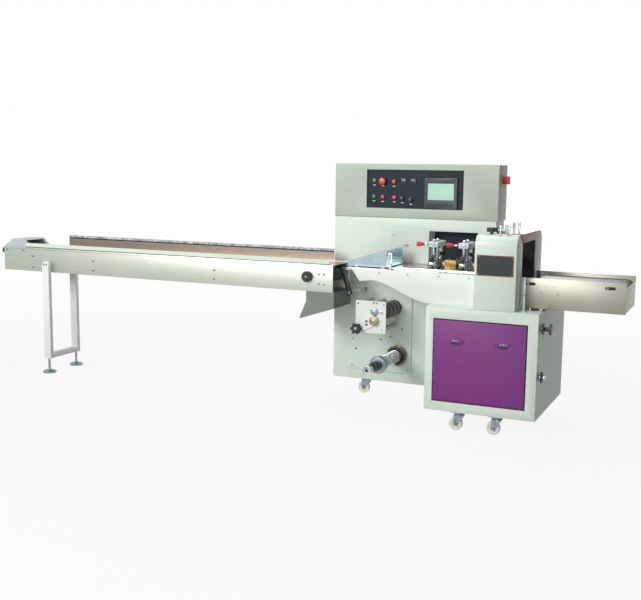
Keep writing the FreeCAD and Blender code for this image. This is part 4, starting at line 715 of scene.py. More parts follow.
    def plate(self, outline: Sequence[tuple[float, float]], axis: Axis, low: float, high: float,
              finish: Stock, bevel: float = 0.6, segments: int = 2) -> None:
        """Adds a plate cut to an outline.

        Args:
            outline: for X the points are (y, z), for Y (x, z) and for Z (x, y).
            axis: the direction of its thickness.
            low: where it starts along the axis.
            high: where it ends.
            finish: what covers it.
            bevel: edge rounding.
            segments: steps in the rounding.
        """
        part = bmesh.new()
        order = {Axis.X: lambda a, b: (low, a, b), Axis.Y: lambda a, b: (a, low, b),
                 Axis.Z: lambda a, b: (a, b, low)}[axis]
        face = part.faces.new([part.verts.new(order(a, b)) for a, b in outline])
        grown = bmesh.ops.extrude_face_region(part, geom=[face])
        raised = [item for item in grown["geom"] if isinstance(item, bmesh.types.BMVert)]
        bmesh.ops.translate(part, vec=axis.vector * (high - low), verts=raised)
        bmesh.ops.recalc_face_normals(part, faces=part.faces)
        if bevel > 0:
            rim = [edge for edge in part.edges if is_sharp(edge)]
            round_edges(part, rim, bevel, segments)
        self.take(part, finish)

    def bolt(self, seat: Triple, axis: Vector, size: float, finish: Stock = Stock.ZINC,
             socket: bool = True) -> None:
        """Adds a screw head: a socket cap screw, or a hexagon head on its washer.

        Args:
            seat: the middle of the face it sits on.
            axis: which way the head points.
            size: the head's diameter.
            finish: what covers it.
            socket: a cap screw whose socket is a black disc of painted shadow, or a hexagon.
        """
        height = size * 0.5
        if socket:
            rim = size * 0.27
            self.turned(((0, size / 2), (height, size / 2), (height, rim)), seat, axis, finish, 20,
                        size * 0.05)
            # The socket is a thin black disc: painted shadow in the recess.
            inset = tuple(Vector(seat) + axis * (height + 0.02))
            self.turned(((0, rim), (0.3, rim)), inset, axis, Stock.SHADOW, 6)
        else:
            self.turned(((0, size * 0.62), (size * 0.1, size * 0.62)), seat, axis, finish, 20)
            top = tuple(Vector(seat) + axis * size * 0.1)
            self.turned(((0, size / 2), (height * 0.85, size / 2), (height, size * 0.42)), top, axis,
                        finish, 6)

    def spring(self, start: Triple, axis: Vector, length: float, radius: float, wire: float,
               turns: float, finish: Stock, sides: int = 6, steps: int = 16) -> None:
        """Adds a coil spring: a wire's round section swept up a helix.

        Args:
            start: the middle of the end that it starts from.
            axis: which way it points.
            length: its length.
            radius: the coil's mean radius.
            wire: the wire's radius.
            turns: how many turns.
            finish: what covers it.
            sides: faces round the wire.
            steps: sections in each turn.
        """
        part = bmesh.new()
        made = bmesh.ops.create_circle(part, segments=sides, radius=wire, cap_ends=True)
        upright = Matrix.Translation((radius, 0, 0)) @ Matrix.Rotation(math.pi / 2, 4, "X")
        bmesh.ops.transform(part, matrix=upright, verts=made["verts"])
        count = int(turns * steps)
        geom = part.verts[:] + part.edges[:] + part.faces[:]
        bmesh.ops.spin(part, geom=geom, cent=(0, 0, 0), axis=(0, 0, 1),
                       dvec=(0, 0, length / count), angle=2 * math.pi * turns, steps=count,
                       use_merge=False)
        bmesh.ops.transform(part, matrix=Matrix.Translation(start) @ turn_to(axis), verts=part.verts)
        self.take(part, finish)

    def solid(self, node: str, finish: Stock, bevel: float = 1.0, segments: int = 2,
              smallest: float = 2.5) -> None:
        """Adds a welded copy of a CAD node with its sharp edges rounded.

        Args:
            node: the CAD node.
            finish: what covers it.
            bevel: edge rounding.
            segments: steps in the rounding.
            smallest: edges shorter than this many millimetres stay sharp.
        """
        part = bmesh.new()
        part.from_mesh(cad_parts[node].data)
        to_layout = Matrix.Scale(1 / MM, 4) @ Matrix.Translation(-LAYOUT.origin)
        bmesh.ops.transform(part, matrix=to_layout, verts=part.verts)
        bmesh.ops.remove_doubles(part, verts=part.verts, dist=0.01)
        bmesh.ops.dissolve_limit(part, angle_limit=math.radians(1.0), verts=part.verts,
                                 edges=part.edges)
        bmesh.ops.recalc_face_normals(part, faces=part.faces)
        if bevel > 0:
            sharp = [edge for edge in part.edges if is_sharp(edge) and edge.calc_length() > smallest]
            round_edges(part, sharp, bevel, segments)
        self.take(part, finish, outward=False)

    def place(self, slot: str = "", stands_for: Iterable[str] = ()) -> bpy.types.Object:
        """Makes the object, in frame metres, and sets it on its body.

        Args:
            slot: not used.
            stands_for: the CAD nodes that it replaces.

        Returns:
            The object.
        """
        to_frame = Matrix.Translation(LAYOUT.origin) @ Matrix.Scale(MM, 4)
        bmesh.ops.transform(self.mesh, matrix=to_frame, verts=self.mesh.verts)
        for edge in self.mesh.edges:
            if len(edge.link_faces) == 2:
                edge.smooth = edge.calc_face_angle(0.0) < SHARP_ANGLE
        data = bpy.data.meshes.new(self.name)
        self.mesh.to_mesh(data)
        self.mesh.free()
        for finish in self.finishes:
            data.materials.append(finish.material())
        made = bpy.data.objects.new(self.name, data)
        bpy.context.scene.collection.objects.link(made)
        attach(made, self.body)
        nodes = list(stands_for)
        if nodes:
            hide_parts(*nodes)
        LOG.info("%s on %s: %d faces", self.name, self.body, len(data.polygons))
        return made


def dress_node(node: str, finish: Stock) -> None:
    """Gives a CAD node its material.

    Args:
        node: the CAD node.
        finish: what covers it.
    """
    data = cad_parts[node].data
    data.materials.clear()
    data.materials.append(finish.material())


def softened(node: str, finish: Stock, slot: str, bevel: float = 1.2,
             body: str = "frame") -> bpy.types.Object:
    """Shows a CAD node as a welded copy with rounded edges.

    Args:
        node: the CAD node.
        finish: what covers it.
        slot: the record's material slot.
        bevel: edge rounding.
        body: the body it rides on.

    Returns:
        The piece.
    """
    mould = Mould(f"{node}_finished", body)
    mould.solid(node, finish, bevel)
    return mould.place(slot, [node])


# ---------------------------------------------------------------- studio
@dataclass
class Studio:
    """Floor, world, lamps and camera."""

    camera_place: Triple = (2402.75, -4874.2, 1449.77)
    lens_mm: float = 53.134
    yaw: float = 24.8314
    pitch: float = 8.2357
    roll: float = 0.5991
    floor_half: float = 30.0
    sky: float = 0.05
    fade_from: float = 2.2
    fade_to: float = 6.5
    floor_glow: float = 0.9

    def build(self) -> None:
        """Makes the whole studio."""
        self.make_world()
        self.make_floor()
        self.make_lamps()
        self.make_camera()
        bpy.context.scene.view_settings.view_transform = "Standard"
        LOG.info("studio ready")

    def make_world(self) -> None:
        """White where the camera and reflections look, a soft grey for the light it sheds."""
        world = bpy.data.worlds.new("studio")
        bpy.context.scene.world = world
        world.use_nodes = True
        tree = world.node_tree
        tree.nodes.clear()
        path = add_node(tree, "ShaderNodeLightPath")
        seen = add_node(tree, "ShaderNodeMath", links={0: path.outputs["Is Camera Ray"],
                                                       1: path.outputs["Is Glossy Ray"]},
                        operation="MAXIMUM")
        white = add_node(tree, "ShaderNodeMath", links={0: seen.outputs[0],
                                                        1: path.outputs["Is Transmission Ray"]},
                         operation="MAXIMUM")
        soft = add_node(tree, "ShaderNodeBackground", {"Color": linear("#EEF2F4"), "Strength": self.sky})
        bright = add_node(tree, "ShaderNodeBackground", {"Color": (1, 1, 1, 1), "Strength": 1.0})
        mix = add_node(tree, "ShaderNodeMixShader", links={0: white.outputs[0], 1: soft.outputs[0],
                                                           2: bright.outputs[0]})
        add_node(tree, "ShaderNodeOutputWorld", links={"Surface": mix.outputs[0]})

    def make_floor(self) -> None:
        """A plain pale floor that keeps the machine's soft shadow."""
        made = bpy.data.materials.new("studio floor")
        made.use_nodes = True
        tree = made.node_tree
        tree.nodes.clear()
        path = add_node(tree, "ShaderNodeLightPath")
        paper = add_node(tree, "ShaderNodeBsdfDiffuse", {"Color": linear("#B4B4B1")})
        glow = add_node(tree, "ShaderNodeEmission", {"Color": (1, 1, 1, 1), "Strength": 1.0})
        seen = add_node(tree, "ShaderNodeMath", links={0: path.outputs["Is Camera Ray"],
                                                       1: path.outputs["Is Glossy Ray"]},
                        operation="MAXIMUM")
        place = add_node(tree, "ShaderNodeTexCoord").outputs["Object"]
        reach = add_node(tree, "ShaderNodeVectorMath", links={0: place}, operation="LENGTH")
        fade = add_node(tree, "ShaderNodeMapRange", {"From Min": self.fade_from, "From Max": self.fade_to,
                                                     "To Min": self.floor_glow, "To Max": 1.0},
                        {"Value": reach.outputs["Value"]})
        share = add_node(tree, "ShaderNodeMath", links={0: seen.outputs[0], 1: fade.outputs[0]},
                         operation="MULTIPLY")
        mix = add_node(tree, "ShaderNodeMixShader", links={0: share.outputs[0], 1: paper.outputs[0],
                                                           2: glow.outputs[0]})
        add_node(tree, "ShaderNodeOutputMaterial", links={"Surface": mix.outputs[0]})
        part = bmesh.new()
        bmesh.ops.create_grid(part, x_segments=1, y_segments=1, size=self.floor_half)
        data = bpy.data.meshes.new("studio_floor")
        part.to_mesh(data)
        part.free()
        data.materials.append(made)
        floor = bpy.data.objects.new("studio_floor", data)
        bpy.context.scene.collection.objects.link(floor)

    def lamp(self, name: str, place: Triple, target: Triple, size: float, power: float,
             colour: str) -> None:
        """Adds one soft area lamp.

        Args:
            name: its name.
            place: where it hangs.
            target: what it points at.
            size: its side in metres.
            power: watts.
            colour: hex.
        """
        data = bpy.data.lights.new(name, "AREA")
        data.shape = "SQUARE"
        data.size = size
        data.energy = power
        data.color = linear(colour)[:3]
        lamp = bpy.data.objects.new(name, data)
        lamp.location = LAYOUT.at(*place)
        lamp.rotation_mode = "QUATERNION"
        aim = LAYOUT.at(*target) - lamp.location
        lamp.rotation_quaternion = aim.to_track_quat("-Z", "Y")
        bpy.context.scene.collection.objects.link(lamp)

    def make_lamps(self) -> None:
        """A broad key from the front left, a front fill, top and back lamps and a weak one on the right."""
        self.lamp("key", (-2600.0, -5200.0, 3600.0), (200.0, 300.0, 700.0), 3.0, 322.0, "#FFFDF8")
        self.lamp("front", (400.0, -6200.0, 2000.0), (400.0, 300.0, 700.0), 3.2, 116.0, "#F6FAFF")
        self.lamp("top", (0.0, 600.0, 5200.0), (0.0, 300.0, 800.0), 4.0, 130.0, "#FFFFFF")
        self.lamp("back", (-900.0, 6200.0, 2600.0), (200.0, 600.0, 600.0), 3.2, 210.0, "#FBFCFF")
        self.lamp("right", (5200.0, 1200.0, 2600.0), (1300.0, 300.0, 700.0), 2.4, 6.0, "#F4F6FF")

    def make_camera(self) -> None:
        """The camera, set where the machine is seen from its discharge end."""
        data = bpy.data.cameras.new("camera")
        data.lens = self.lens_mm
        data.sensor_width = 36.0
        data.sensor_fit = "HORIZONTAL"
        data.clip_start = 0.05
        data.clip_end = 200.0
        camera = bpy.data.objects.new("camera", data)
        turn = (Matrix.Rotation(math.radians(self.yaw), 4, "Z")
                @ Matrix.Rotation(math.radians(90 - self.pitch), 4, "X")
                @ Matrix.Rotation(math.radians(self.roll), 4, "Z"))
        camera.matrix_world = Matrix.Translation(LAYOUT.at(*self.camera_place)) @ turn
        bpy.context.scene.collection.objects.link(camera)
        bpy.context.scene.camera = camera


# ---------------------------------------------------------------- carried-over solids
PLAIN_FINISHES: dict[str, Stock] = {
    "touch_screen": Stock.BEZEL, "panel_controls": Stock.BLACK, "control_panel": Stock.NAVY,
    "main_switch_plate": Stock.YELLOW, "main_switch_handle": Stock.GRIP, "column_guard": Stock.CLEAR,
    "door_latches": Stock.PURPLE, "caster_forks": Stock.ZINC, "work_table": Stock.TABLE,
    "film_rails": Stock.CHROME, "infeed_arm": Stock.BODY, "infeed_bed": Stock.BED,
    "infeed_guides": Stock.BED, "infeed_chain": Stock.CHAIN, "tail_knob": Stock.BLACK,
    "infeed_handwheel": Stock.BLACK, "levelling_feet": Stock.ZINC, "tie_rods": Stock.CHROME,
    "feed_roller": Stock.RUBBER, "guide_roller": Stock.CHROME, "film_star_knob": Stock.BLACK,
    "reel_hub": Stock.GUNMETAL, "reel_shaft": Stock.CHROME, "film_guide_arm": Stock.GUNMETAL,
    "former": Stock.FORMER, "seal_units": Stock.CHROME, "seal_wheels": Stock.CHROME,
    "heater_block": Stock.BRASS, "seal_guard": Stock.CRIMSON, "seal_posts": Stock.CHROME,
    "shell_knob": Stock.BLACK, "seal_jaws": Stock.JAW_PAINTED_SHADE, "name_plate": Stock.PLATE,
    "discharge_belt": Stock.BELT, "discharge_posts": Stock.CHROME, "conveyor_rollers": Stock.RUBBER,
    "side_knob_upper": Stock.BLACK, "side_knob_lower": Stock.BLACK, "crumb_chute": Stock.CHUTE,
    "rear_body": Stock.BODY, "control_box": Stock.BOX_PAINTED_SHADE, "cabinet_panels": Stock.BODY,
    "cabinet_front": Stock.BODY, "cabinet_door": Stock.PURPLE, "table_fascia": Stock.WHITE,
    "infeed_sides": Stock.SKIRT, "tail_cover": Stock.HOOD, "leg_stand": Stock.WHITE,
    "film_plate": Stock.BODY, "roller_plate": Stock.WHITE, "seal_shell_front": Stock.BODY,
    "seal_shell_rear": Stock.BODY, "discharge_sides": Stock.OUTFEED,
    **{f"caster_wheel_{number}": Stock.NYLON for number in range(1, 6)},
}


@dataclass
class Housings:
    """Column, control box, cabinet and housing cheeks with their edges rounded."""

    folds: tuple[tuple[str, Stock, str, float], ...] = (
        ("rear_body", Stock.BODY, "body_paint", 2.5),
        ("control_box", Stock.BOX_PAINTED_SHADE, "body_paint", 3.0),
        ("cabinet_front", Stock.BODY, "body_paint", 1.5),
        ("film_plate", Stock.BODY, "body_paint", 1.2),
        ("seal_shell_front", Stock.BODY, "body_paint", 3.0),
        ("seal_shell_rear", Stock.BODY, "body_paint", 3.0),
        ("table_fascia", Stock.WHITE, "white_paint", 1.0),
        ("discharge_sides", Stock.OUTFEED, "stainless", 1.2),
        ("infeed_sides", Stock.SKIRT, "stainless", 1.2),
        ("tail_cover", Stock.HOOD, "grey_sheet", 0.8),
        ("leg_stand", Stock.WHITE, "white_paint", 2.0),
        ("roller_plate", Stock.WHITE, "white_paint", 1.2),
    )

    def build(self) -> None:
        """Shows each folded or machined solid with rounded edges."""
        for node, finish, slot, bevel in self.folds:
            softened(node, finish, slot, bevel)
        softened("cabinet_door", Stock.PURPLE, "door_purple", 1.5, "door")
        box = LAYOUT.of("control_box")
        column = LAYOUT.of("rear_body")
        # A black strip along the seam under the control box: painted shadow in the gap.
        mould = Mould("box_seam_shadow")
        mould.block(column.x0 + 2, column.x1 - 2, box.y0 - 0.2, box.y0 + 0.4, box.z0 - 1.6, box.z0 + 0.6,
                    Stock.SHADOW, 0.0)
        mould.place("black_plastic")


@dataclass
class ControlPanel:
    """The operator's panel: lit terminal, push buttons, stop button, counters and selectors."""

    fit: float = 1.0
    greens: tuple[tuple[float, float], ...] = ((46.0, 165.0), (45.0, 69.0))
    reds: tuple[tuple[float, float], ...] = ((173.0, 160.0), (102.0, 67.0), (176.0, 66.0))
    stop: tuple[float, float] = (103.0, 162.0)
    counters: tuple[tuple[float, float], ...] = ((236.0, 164.0), (298.0, 164.0))
    selectors: tuple[tuple[float, float], ...] = ((228.0, 62.0), (283.0, 54.0))
    legend_drop: float = 27.0
    glass_side: float = 20.0
    glass_low: float = 52.0
    glass_high: float = 32.0
    glass_sink: float = 2.5
    keys: int = 6
    key_inset: float = 8.0
    key_pitch: float = 26.0
    key_width: float = 14.0
    key_low: float = 20.0
    key_high: float = 28.0

    def build(self) -> None:
        """Makes the controls, the terminal's frame and its glass."""
        self.make_controls()
        self.make_terminal()

    def make_controls(self) -> None:
        """Makes every control on the panel as one piece."""
        panel = LAYOUT.of("control_panel")
        mould = Mould("panel_controls_finished")

        def spot(place: tuple[float, float]) -> Triple:
            """Gives a control's centre on the panel's face."""
            return panel.x0 - self.fit + place[0], panel.y0, panel.z0 - self.fit + place[1]

        for places, cap in ((self.greens, Stock.GREEN), (self.reds, Stock.RED)):
            for place in places:
                self.add_button(mould, spot(place), cap)
        self.add_stop(mould, spot(self.stop))
        for place in self.counters:
            self.add_counter(mould, spot(place))
        for place in self.selectors:
            self.add_selector(mould, spot(place))
        for place in (*self.greens, *self.reds, self.stop, *self.selectors):
            x, y, z = spot(place)
            low = z - self.legend_drop
            mould.block(x - 8, x + 8, y - 0.5, y, low - 2.2, low + 2.2, Stock.WHITE, 0.2, 1)
        mould.place("button_plastic", ["panel_controls"])

    def add_button(self, mould: Mould, seat: Triple, cap: Stock) -> None:
        """Adds a round push button on its blackened steel ring."""
        mould.turned(((0, 15), (3, 15), (4, 13), (4, 12)), seat, FRONT, Stock.GUNMETAL, 32)
        mould.turned(((0, 11.5), (7, 11.5), (8.6, 9.8), (9, 6)), seat, FRONT, cap, 32)

    def add_stop(self, mould: Mould, seat: Triple) -> None:
        """Adds the mushroom stop button on its dark collar.

        Args:
            mould: the piece that it goes into.
            seat: the middle of its seat.
        """
        mould.turned(((0, 16), (6, 16), (7, 12), (13, 12)), seat, FRONT, Stock.BLACK, 32)
        mould.turned(((13, 14), (14, 21), (18, 22), (22, 20.5), (25, 15), (26, 6)), seat, FRONT,
                     Stock.RED, 40)

    def add_counter(self, mould: Mould, seat: Triple) -> None:
        """Adds a square counter with a bezel, a dark window with white marks and a dark key row.

        Args:
            mould: the piece that it goes into.
            seat: the middle of its seat.
        """
        x, y, z = seat
        mould.block(x - 16.5, x + 16.5, y - 6, y, z - 16.5, z + 16.5, Stock.BLACK, 1.5)
        mould.block(x - 12, x + 12, y - 6.4, y - 5.6, z + 1, z + 12, Stock.SHADOW, 0.2, 1)
        for step in range(4):
            left = x - 10 + step * 5.4
            mould.block(left, left + 3.6, y - 6.8, y - 6.2, z + 4, z + 9, Stock.WHITE, 0.2, 1)
            mould.block(left, left + 3.6, y - 6.8, y - 5.8, z - 10, z - 6, Stock.PLATE, 0.3, 1)

    def add_selector(self, mould: Mould, seat: Triple) -> None:
        """Adds a rotary selector: skirt, round knob and its pale pointer.

        Args:
            mould: the piece that it goes into.
            seat: the middle of its seat.
        """
        x, y, z = seat
        mould.turned(((0, 17), (3, 17), (5, 14), (5, 12)), seat, FRONT, Stock.BLACK, 36)
        mould.turned(((5, 12), (18, 11), (20, 9)), seat, FRONT, Stock.BLACK, 36)
        mould.block(x - 1.2, x + 1.2, y - 20.4, y - 19.4, z + 1, z + 9, Stock.WHITE, 0.2, 1)

    def make_terminal(self) -> None:
        """Makes the terminal's rounded frame, its lit glass and the key row below."""
        screen = LAYOUT.of("touch_screen")
        softened("touch_screen", Stock.BEZEL, "black_plastic", 1.6)
        mould = Mould("terminal_glass")
        face = screen.y0 + self.glass_sink
        mould.block(screen.x0 + self.glass_side, screen.x1 - self.glass_side, face - 0.5, face + 0.4,
                    screen.z0 + self.glass_low, screen.z1 - self.glass_high, Stock.GLASS, 0.2, 1)
        for step in range(self.keys):
            x = screen.x0 + self.glass_side + self.key_inset + step * self.key_pitch
            mould.block(x, x + self.key_width, screen.y0 - 1, screen.y0 + 1, screen.z0 + self.key_low,
                        screen.z0 + self.key_high, Stock.PLATE, 0.8)
        mould.place("black_plastic")


@dataclass
class MainSwitch:
    """The isolator on the box's right side."""

    screw_margin: float = 7.0

    def build(self) -> None:
        """Makes the yellow plate with its screws and the red grip."""
        span = LAYOUT.of("main_switch_plate")
        mould = Mould("main_switch_plate_finished")
        mould.solid("main_switch_plate", Stock.YELLOW, 1.0)
        for y in (span.y0 + self.screw_margin, span.y1 - self.screw_margin):
            for z in (span.z0 + self.screw_margin, span.z1 - self.screw_margin):
                mould.bolt((span.x1, y, z), RIGHT, 6.0)
        mould.place("switch_yellow", ["main_switch_plate"])
        softened("main_switch_handle", Stock.GRIP, "switch_red", 1.6, "switch_handle")


@dataclass
class Cabinet:
    """Door latches, hand knobs on the side and the casters."""

    latch_shares: tuple[float, ...] = (0.255, 0.747)
    dot_step: float = 14.0
    dot_drop: float = 9.0
    dot_size: float = 7.0
    lip_shadow_half: float = 22.0
    lip_shadow_drop: float = 22.0
    lip_shadow_r: float = 3.0
    fork_reach: float = 10.0

    def build(self) -> None:
        """Makes the door furniture, knobs and casters."""
        self.make_latches()
        self.make_knob("side_knob_upper", 2)
        self.make_knob("side_knob_lower", 1)
        self.make_forks()
        for number in range(1, 6):
            self.make_wheel(f"caster_wheel_{number}")

    def make_latches(self) -> None:
        """Adds the three bright fixings of each half-moon plate and a black strip of painted shadow under
        its finger lip.
        """
        span = LAYOUT.of("door_latches")
        door = LAYOUT.of("cabinet_door")
        mould = Mould("door_latches_finished", "door")
        mould.solid("door_latches", Stock.PURPLE, 0.9, smallest=0.5)
        for share in self.latch_shares:
            x = door.x0 + (door.x1 - door.x0) * share
            for step in (-1, 0, 1):
                mould.bolt((x + step * self.dot_step, span.y0, span.z1 - self.dot_drop), FRONT,
                           self.dot_size, Stock.CHROME)
            # The finger lip is shown only by a thin black strip: painted shadow beneath it.
            lip = obround(x - self.lip_shadow_half, x + self.lip_shadow_half, span.z1 - self.lip_shadow_drop, self.lip_shadow_r)
            mould.plate(lip, Axis.Y, span.y0 - 0.5, span.y0, Stock.SHADOW, 0.2)
        mould.place("door_purple", ["door_latches"])

    def make_knob(self, node: str, flanges: int) -> None:
        """Makes a hand knob: bright shaft and collar, black scalloped flanges.

        Args:
            node: the CAD node.
            flanges: one or two scalloped flanges.
        """
        span = LAYOUT.of(node)
        centre = (span.x0, (span.y0 + span.y1) / 2, (span.z0 + span.z1) / 2)
        radius = (span.z1 - span.z0) / 2
        reach = span.x1 - span.x0
        mould = Mould(f"{node}_finished", node)
        mould.rod(centre, RIGHT, 5, 15, Stock.ZINC, 32)
        mould.rod(centre, RIGHT, 12, 10.8, Stock.CHROME, 32, 1.4)
        mould.rod((centre[0] + 11, centre[1], centre[2]), RIGHT, reach - 12, 10.8, Stock.BLACK, 32, 1.4)
        starts = (10.0, reach - 11.0) if flanges == 2 else (12.0,)
        for start in starts:
            at = (centre[0] + start, centre[1], centre[2])
            mould.knurled(at, RIGHT, 10.8, radius, Stock.BLACK, 28)
        if flanges == 1:
            mould.rod((centre[0] + 22, centre[1], centre[2]), RIGHT, reach - 22, 14, Stock.CHROME, 32, 2)
        mould.place("black_plastic", [node])

    def make_forks(self) -> None:
        """Rounds the pressed forks and adds the axle nuts."""
        mould = Mould("caster_forks_finished")
        mould.solid("caster_forks", Stock.ZINC, 0.8)
        for number in range(1, 6):
            wheel = LAYOUT.of(f"caster_wheel_{number}")
            x, y, z = wheel.mid
            for y_face, axis in ((wheel.y0 - self.fork_reach, FRONT), (wheel.y1 + self.fork_reach, BACK)):
                mould.bolt((x, y_face, z), axis, 15.0, Stock.ZINC, socket=False)
        mould.place("zinc", ["caster_forks"])

    def make_wheel(self, node: str) -> None:
        """Makes a nylon wheel with a crowned tread, dished sides and a nylon hub.

        Args:
            node: the CAD node.
        """
        span = LAYOUT.of(node)
        x, _, z = span.mid
        radius = (span.z1 - span.z0) / 2
        width = span.y1 - span.y0
        mould = Mould(f"{node}_finished", node)
        tread = ((4, radius * 0.62), (1, radius * 0.68), (0, radius * 0.8), (1.2, radius - 3),
                 (4.5, radius - 0.5), (width / 2, radius), (width - 4.5, radius - 0.5),
                 (width - 1.2, radius - 3), (width, radius * 0.8), (width - 1, radius * 0.68),
                 (width - 4, radius * 0.62))
        mould.turned(tread, (x, span.y0, z), BACK, Stock.NYLON, 48)
        mould.rod((x, span.y0 - 0.2, z), BACK, width + 0.4, radius * 0.36, Stock.NYLON, 32, 1.0)
        mould.place("caster_nylon", [node])


@dataclass
class Infeed:
    """Skirt screws, painted highlight and shadow strips on the rails, lug chain detail, knobs and leg-stand
    screws of the long infeed.
    """

    skirt_screws: tuple[tuple[float, float], ...] = ((-2110.0, 798.0), (-2110.0, 722.0),
                                                     (-1597.0, 791.0), (-1597.0, 727.0),
                                                     (-662.0, 784.0), (-662.0, 727.0))
    head_screws: tuple[tuple[float, float], ...] = ((60.0, 800.0), (92.0, 800.0), (60.0, 742.0),
                                                    (92.0, 742.0))
    link_pitch: float = 25.4
    link_share: float = 0.72
    chain_end: float = 52.0
    hem_shadow_left: float = 60.0
    hem_shadow_right: float = 120.0
    rail_inset: float = 194.0
    rail_lift: float = 4.2
    rail_height: float = 25.4
    rail_sheet: float = 3.0
    rear_rail_x: float = -1994.0
    rear_rail_end: float = 45.0
    highlight_band_drop: float = 15.0
    shade_band_drop: float = 22.0

    def build(self) -> None:
        """Makes the infeed's small parts."""
        self.make_trim()
        self.make_chain_links()
        self.make_wheel("infeed_handwheel", "handwheel")
        self.make_wheel("tail_knob", "tail_knob")

    def make_trim(self) -> None:
        """Makes the infeed's screws and strips, with the painted highlight and shadow strips on the rails,
        as one piece.
        """
        sides = LAYOUT.of("infeed_sides")
        mould = Mould("infeed_screws")
        self.add_skirt_screws(mould, sides)
        self.add_front_rail(mould, sides)
        self.add_rear_rail(mould, sides)
        self.add_end_screws(mould, sides)
        mould.place("zinc")

    def add_skirt_screws(self, mould: Mould, sides: Span) -> None:
        """Adds the cap screws along both skirts and a black line of painted shadow along the front skirt's
        hem.

        Args:
            mould: the piece that it goes into.
            sides: the skirts' box.
        """
        for x, z in self.skirt_screws + self.head_screws:
            mould.bolt((x, sides.y0, z), FRONT, 12.0)
            mould.bolt((x, sides.y1, z), BACK, 12.0)
        # Black line: painted shadow along the front skirt's hem.
        mould.block(sides.x0 + self.hem_shadow_left, sides.x1 - self.hem_shadow_right, sides.y0 - 0.6, sides.y0,
                    sides.z1 - 12.4, sides.z1 - 11.2, Stock.SHADOW, 0.0)

    def add_front_rail(self, mould: Mould, sides: Span) -> None:
        """Adds a pale strip of painted highlight on the front rail's face and a black strip of painted
        shadow over the gap below it.

        Args:
            mould: the piece that it goes into.
            sides: the skirts' box.
        """
        left, right = sides.x0 + self.rail_inset, LAYOUT.of("infeed_guides").x1 - 2
        # Pale strip: painted highlight on the stainless rail's face; black strip: painted shadow in the gap
        # below the rail.
        mould.block(left, right, sides.y0 - 0.8, sides.y0, sides.z1 + self.rail_lift,
                    sides.z1 + self.rail_lift + self.rail_height, Stock.BODY, 0.3, 1)
        mould.block(left, right, sides.y0 - 0.4, sides.y0, sides.z1, sides.z1 + 4, Stock.SHADOW, 0.0)

    def add_rear_rail(self, mould: Mould, sides: Span) -> None:
        """Adds the strip over the gap below the rear rail, and on its face a chrome band of painted
        highlight above a dark band of painted shade.

        Args:
            mould: the piece that it goes into.
            sides: the skirts' box.
        """
        guides = LAYOUT.of("infeed_guides")
        left, right, face = self.rear_rail_x, self.rear_rail_end, guides.y1 - self.rail_sheet
        middle = guides.z1 - self.highlight_band_drop
        mould.block(left, right, guides.y1 - 2.4, guides.y1 - 0.2, sides.z1 - 1, sides.z1 + 4.5,
                    Stock.BED, 0.3, 1)
        # Chrome band: painted highlight; blackened-steel band below it: painted shade.
        mould.block(left, right, face - 0.6, face, middle, guides.z1 - 1, Stock.CHROME, 0.2, 1)
        mould.block(left, right, face - 0.5, face, guides.z1 - self.shade_band_drop, middle, Stock.GUNMETAL, 0.0)

    def add_end_screws(self, mould: Mould, sides: Span) -> None:
        """Adds the screws below the tail's hood and on the leg stand.

        Args:
            mould: the piece that it goes into.
            sides: the skirts' box.
        """
        hood = LAYOUT.of("tail_cover")
        for x in (hood.x0 + 24, hood.x1 - 24):
            mould.bolt((x, sides.y0, sides.z1 - 24), FRONT, 10.0)
        stand = LAYOUT.of("leg_stand")
        for x in (stand.x0 + 16, stand.x0 + 38):
            mould.bolt((x, stand.y0, stand.z1 - 22), FRONT, 11.0, socket=False)

    def make_chain_links(self) -> None:
        """Adds the link plates along the chain's upper run."""
        chain = LAYOUT.of("infeed_chain")
        _, y, _ = chain.mid
        mould = Mould("chain_links")
        start, end = chain.x0 + self.chain_end, chain.x1 - self.chain_end
        for step in range(int((end - start) / self.link_pitch)):
            x = start + step * self.link_pitch
            mould.block(x, x + self.link_pitch * self.link_share, y - 5, y + 5, chain.z1 - 0.3,
                        chain.z1 + 1.2, Stock.ZINC, 0.0)
        mould.place("chain_steel")

    def make_wheel(self, node: str, body: str) -> None:
        """Makes a black hand knob with a bright hub screw.

        Args:
            node: the CAD node.
            body: the body it rides on.
        """
        span = LAYOUT.of(node)
        across = {"x": span.x1 - span.x0, "y": span.y1 - span.y0}
        axis = FRONT if across["y"] < across["x"] else LEFT
        mould = Mould(f"{node}_finished", body)
        mould.solid(node, Stock.BLACK, 1.8)
        x, y, z = span.mid
        seat = (x, span.y0, z) if axis == FRONT else (span.x0, y, z)
        mould.bolt(seat, axis, 13.0, Stock.CHROME)
        mould.place("black_plastic", [node])


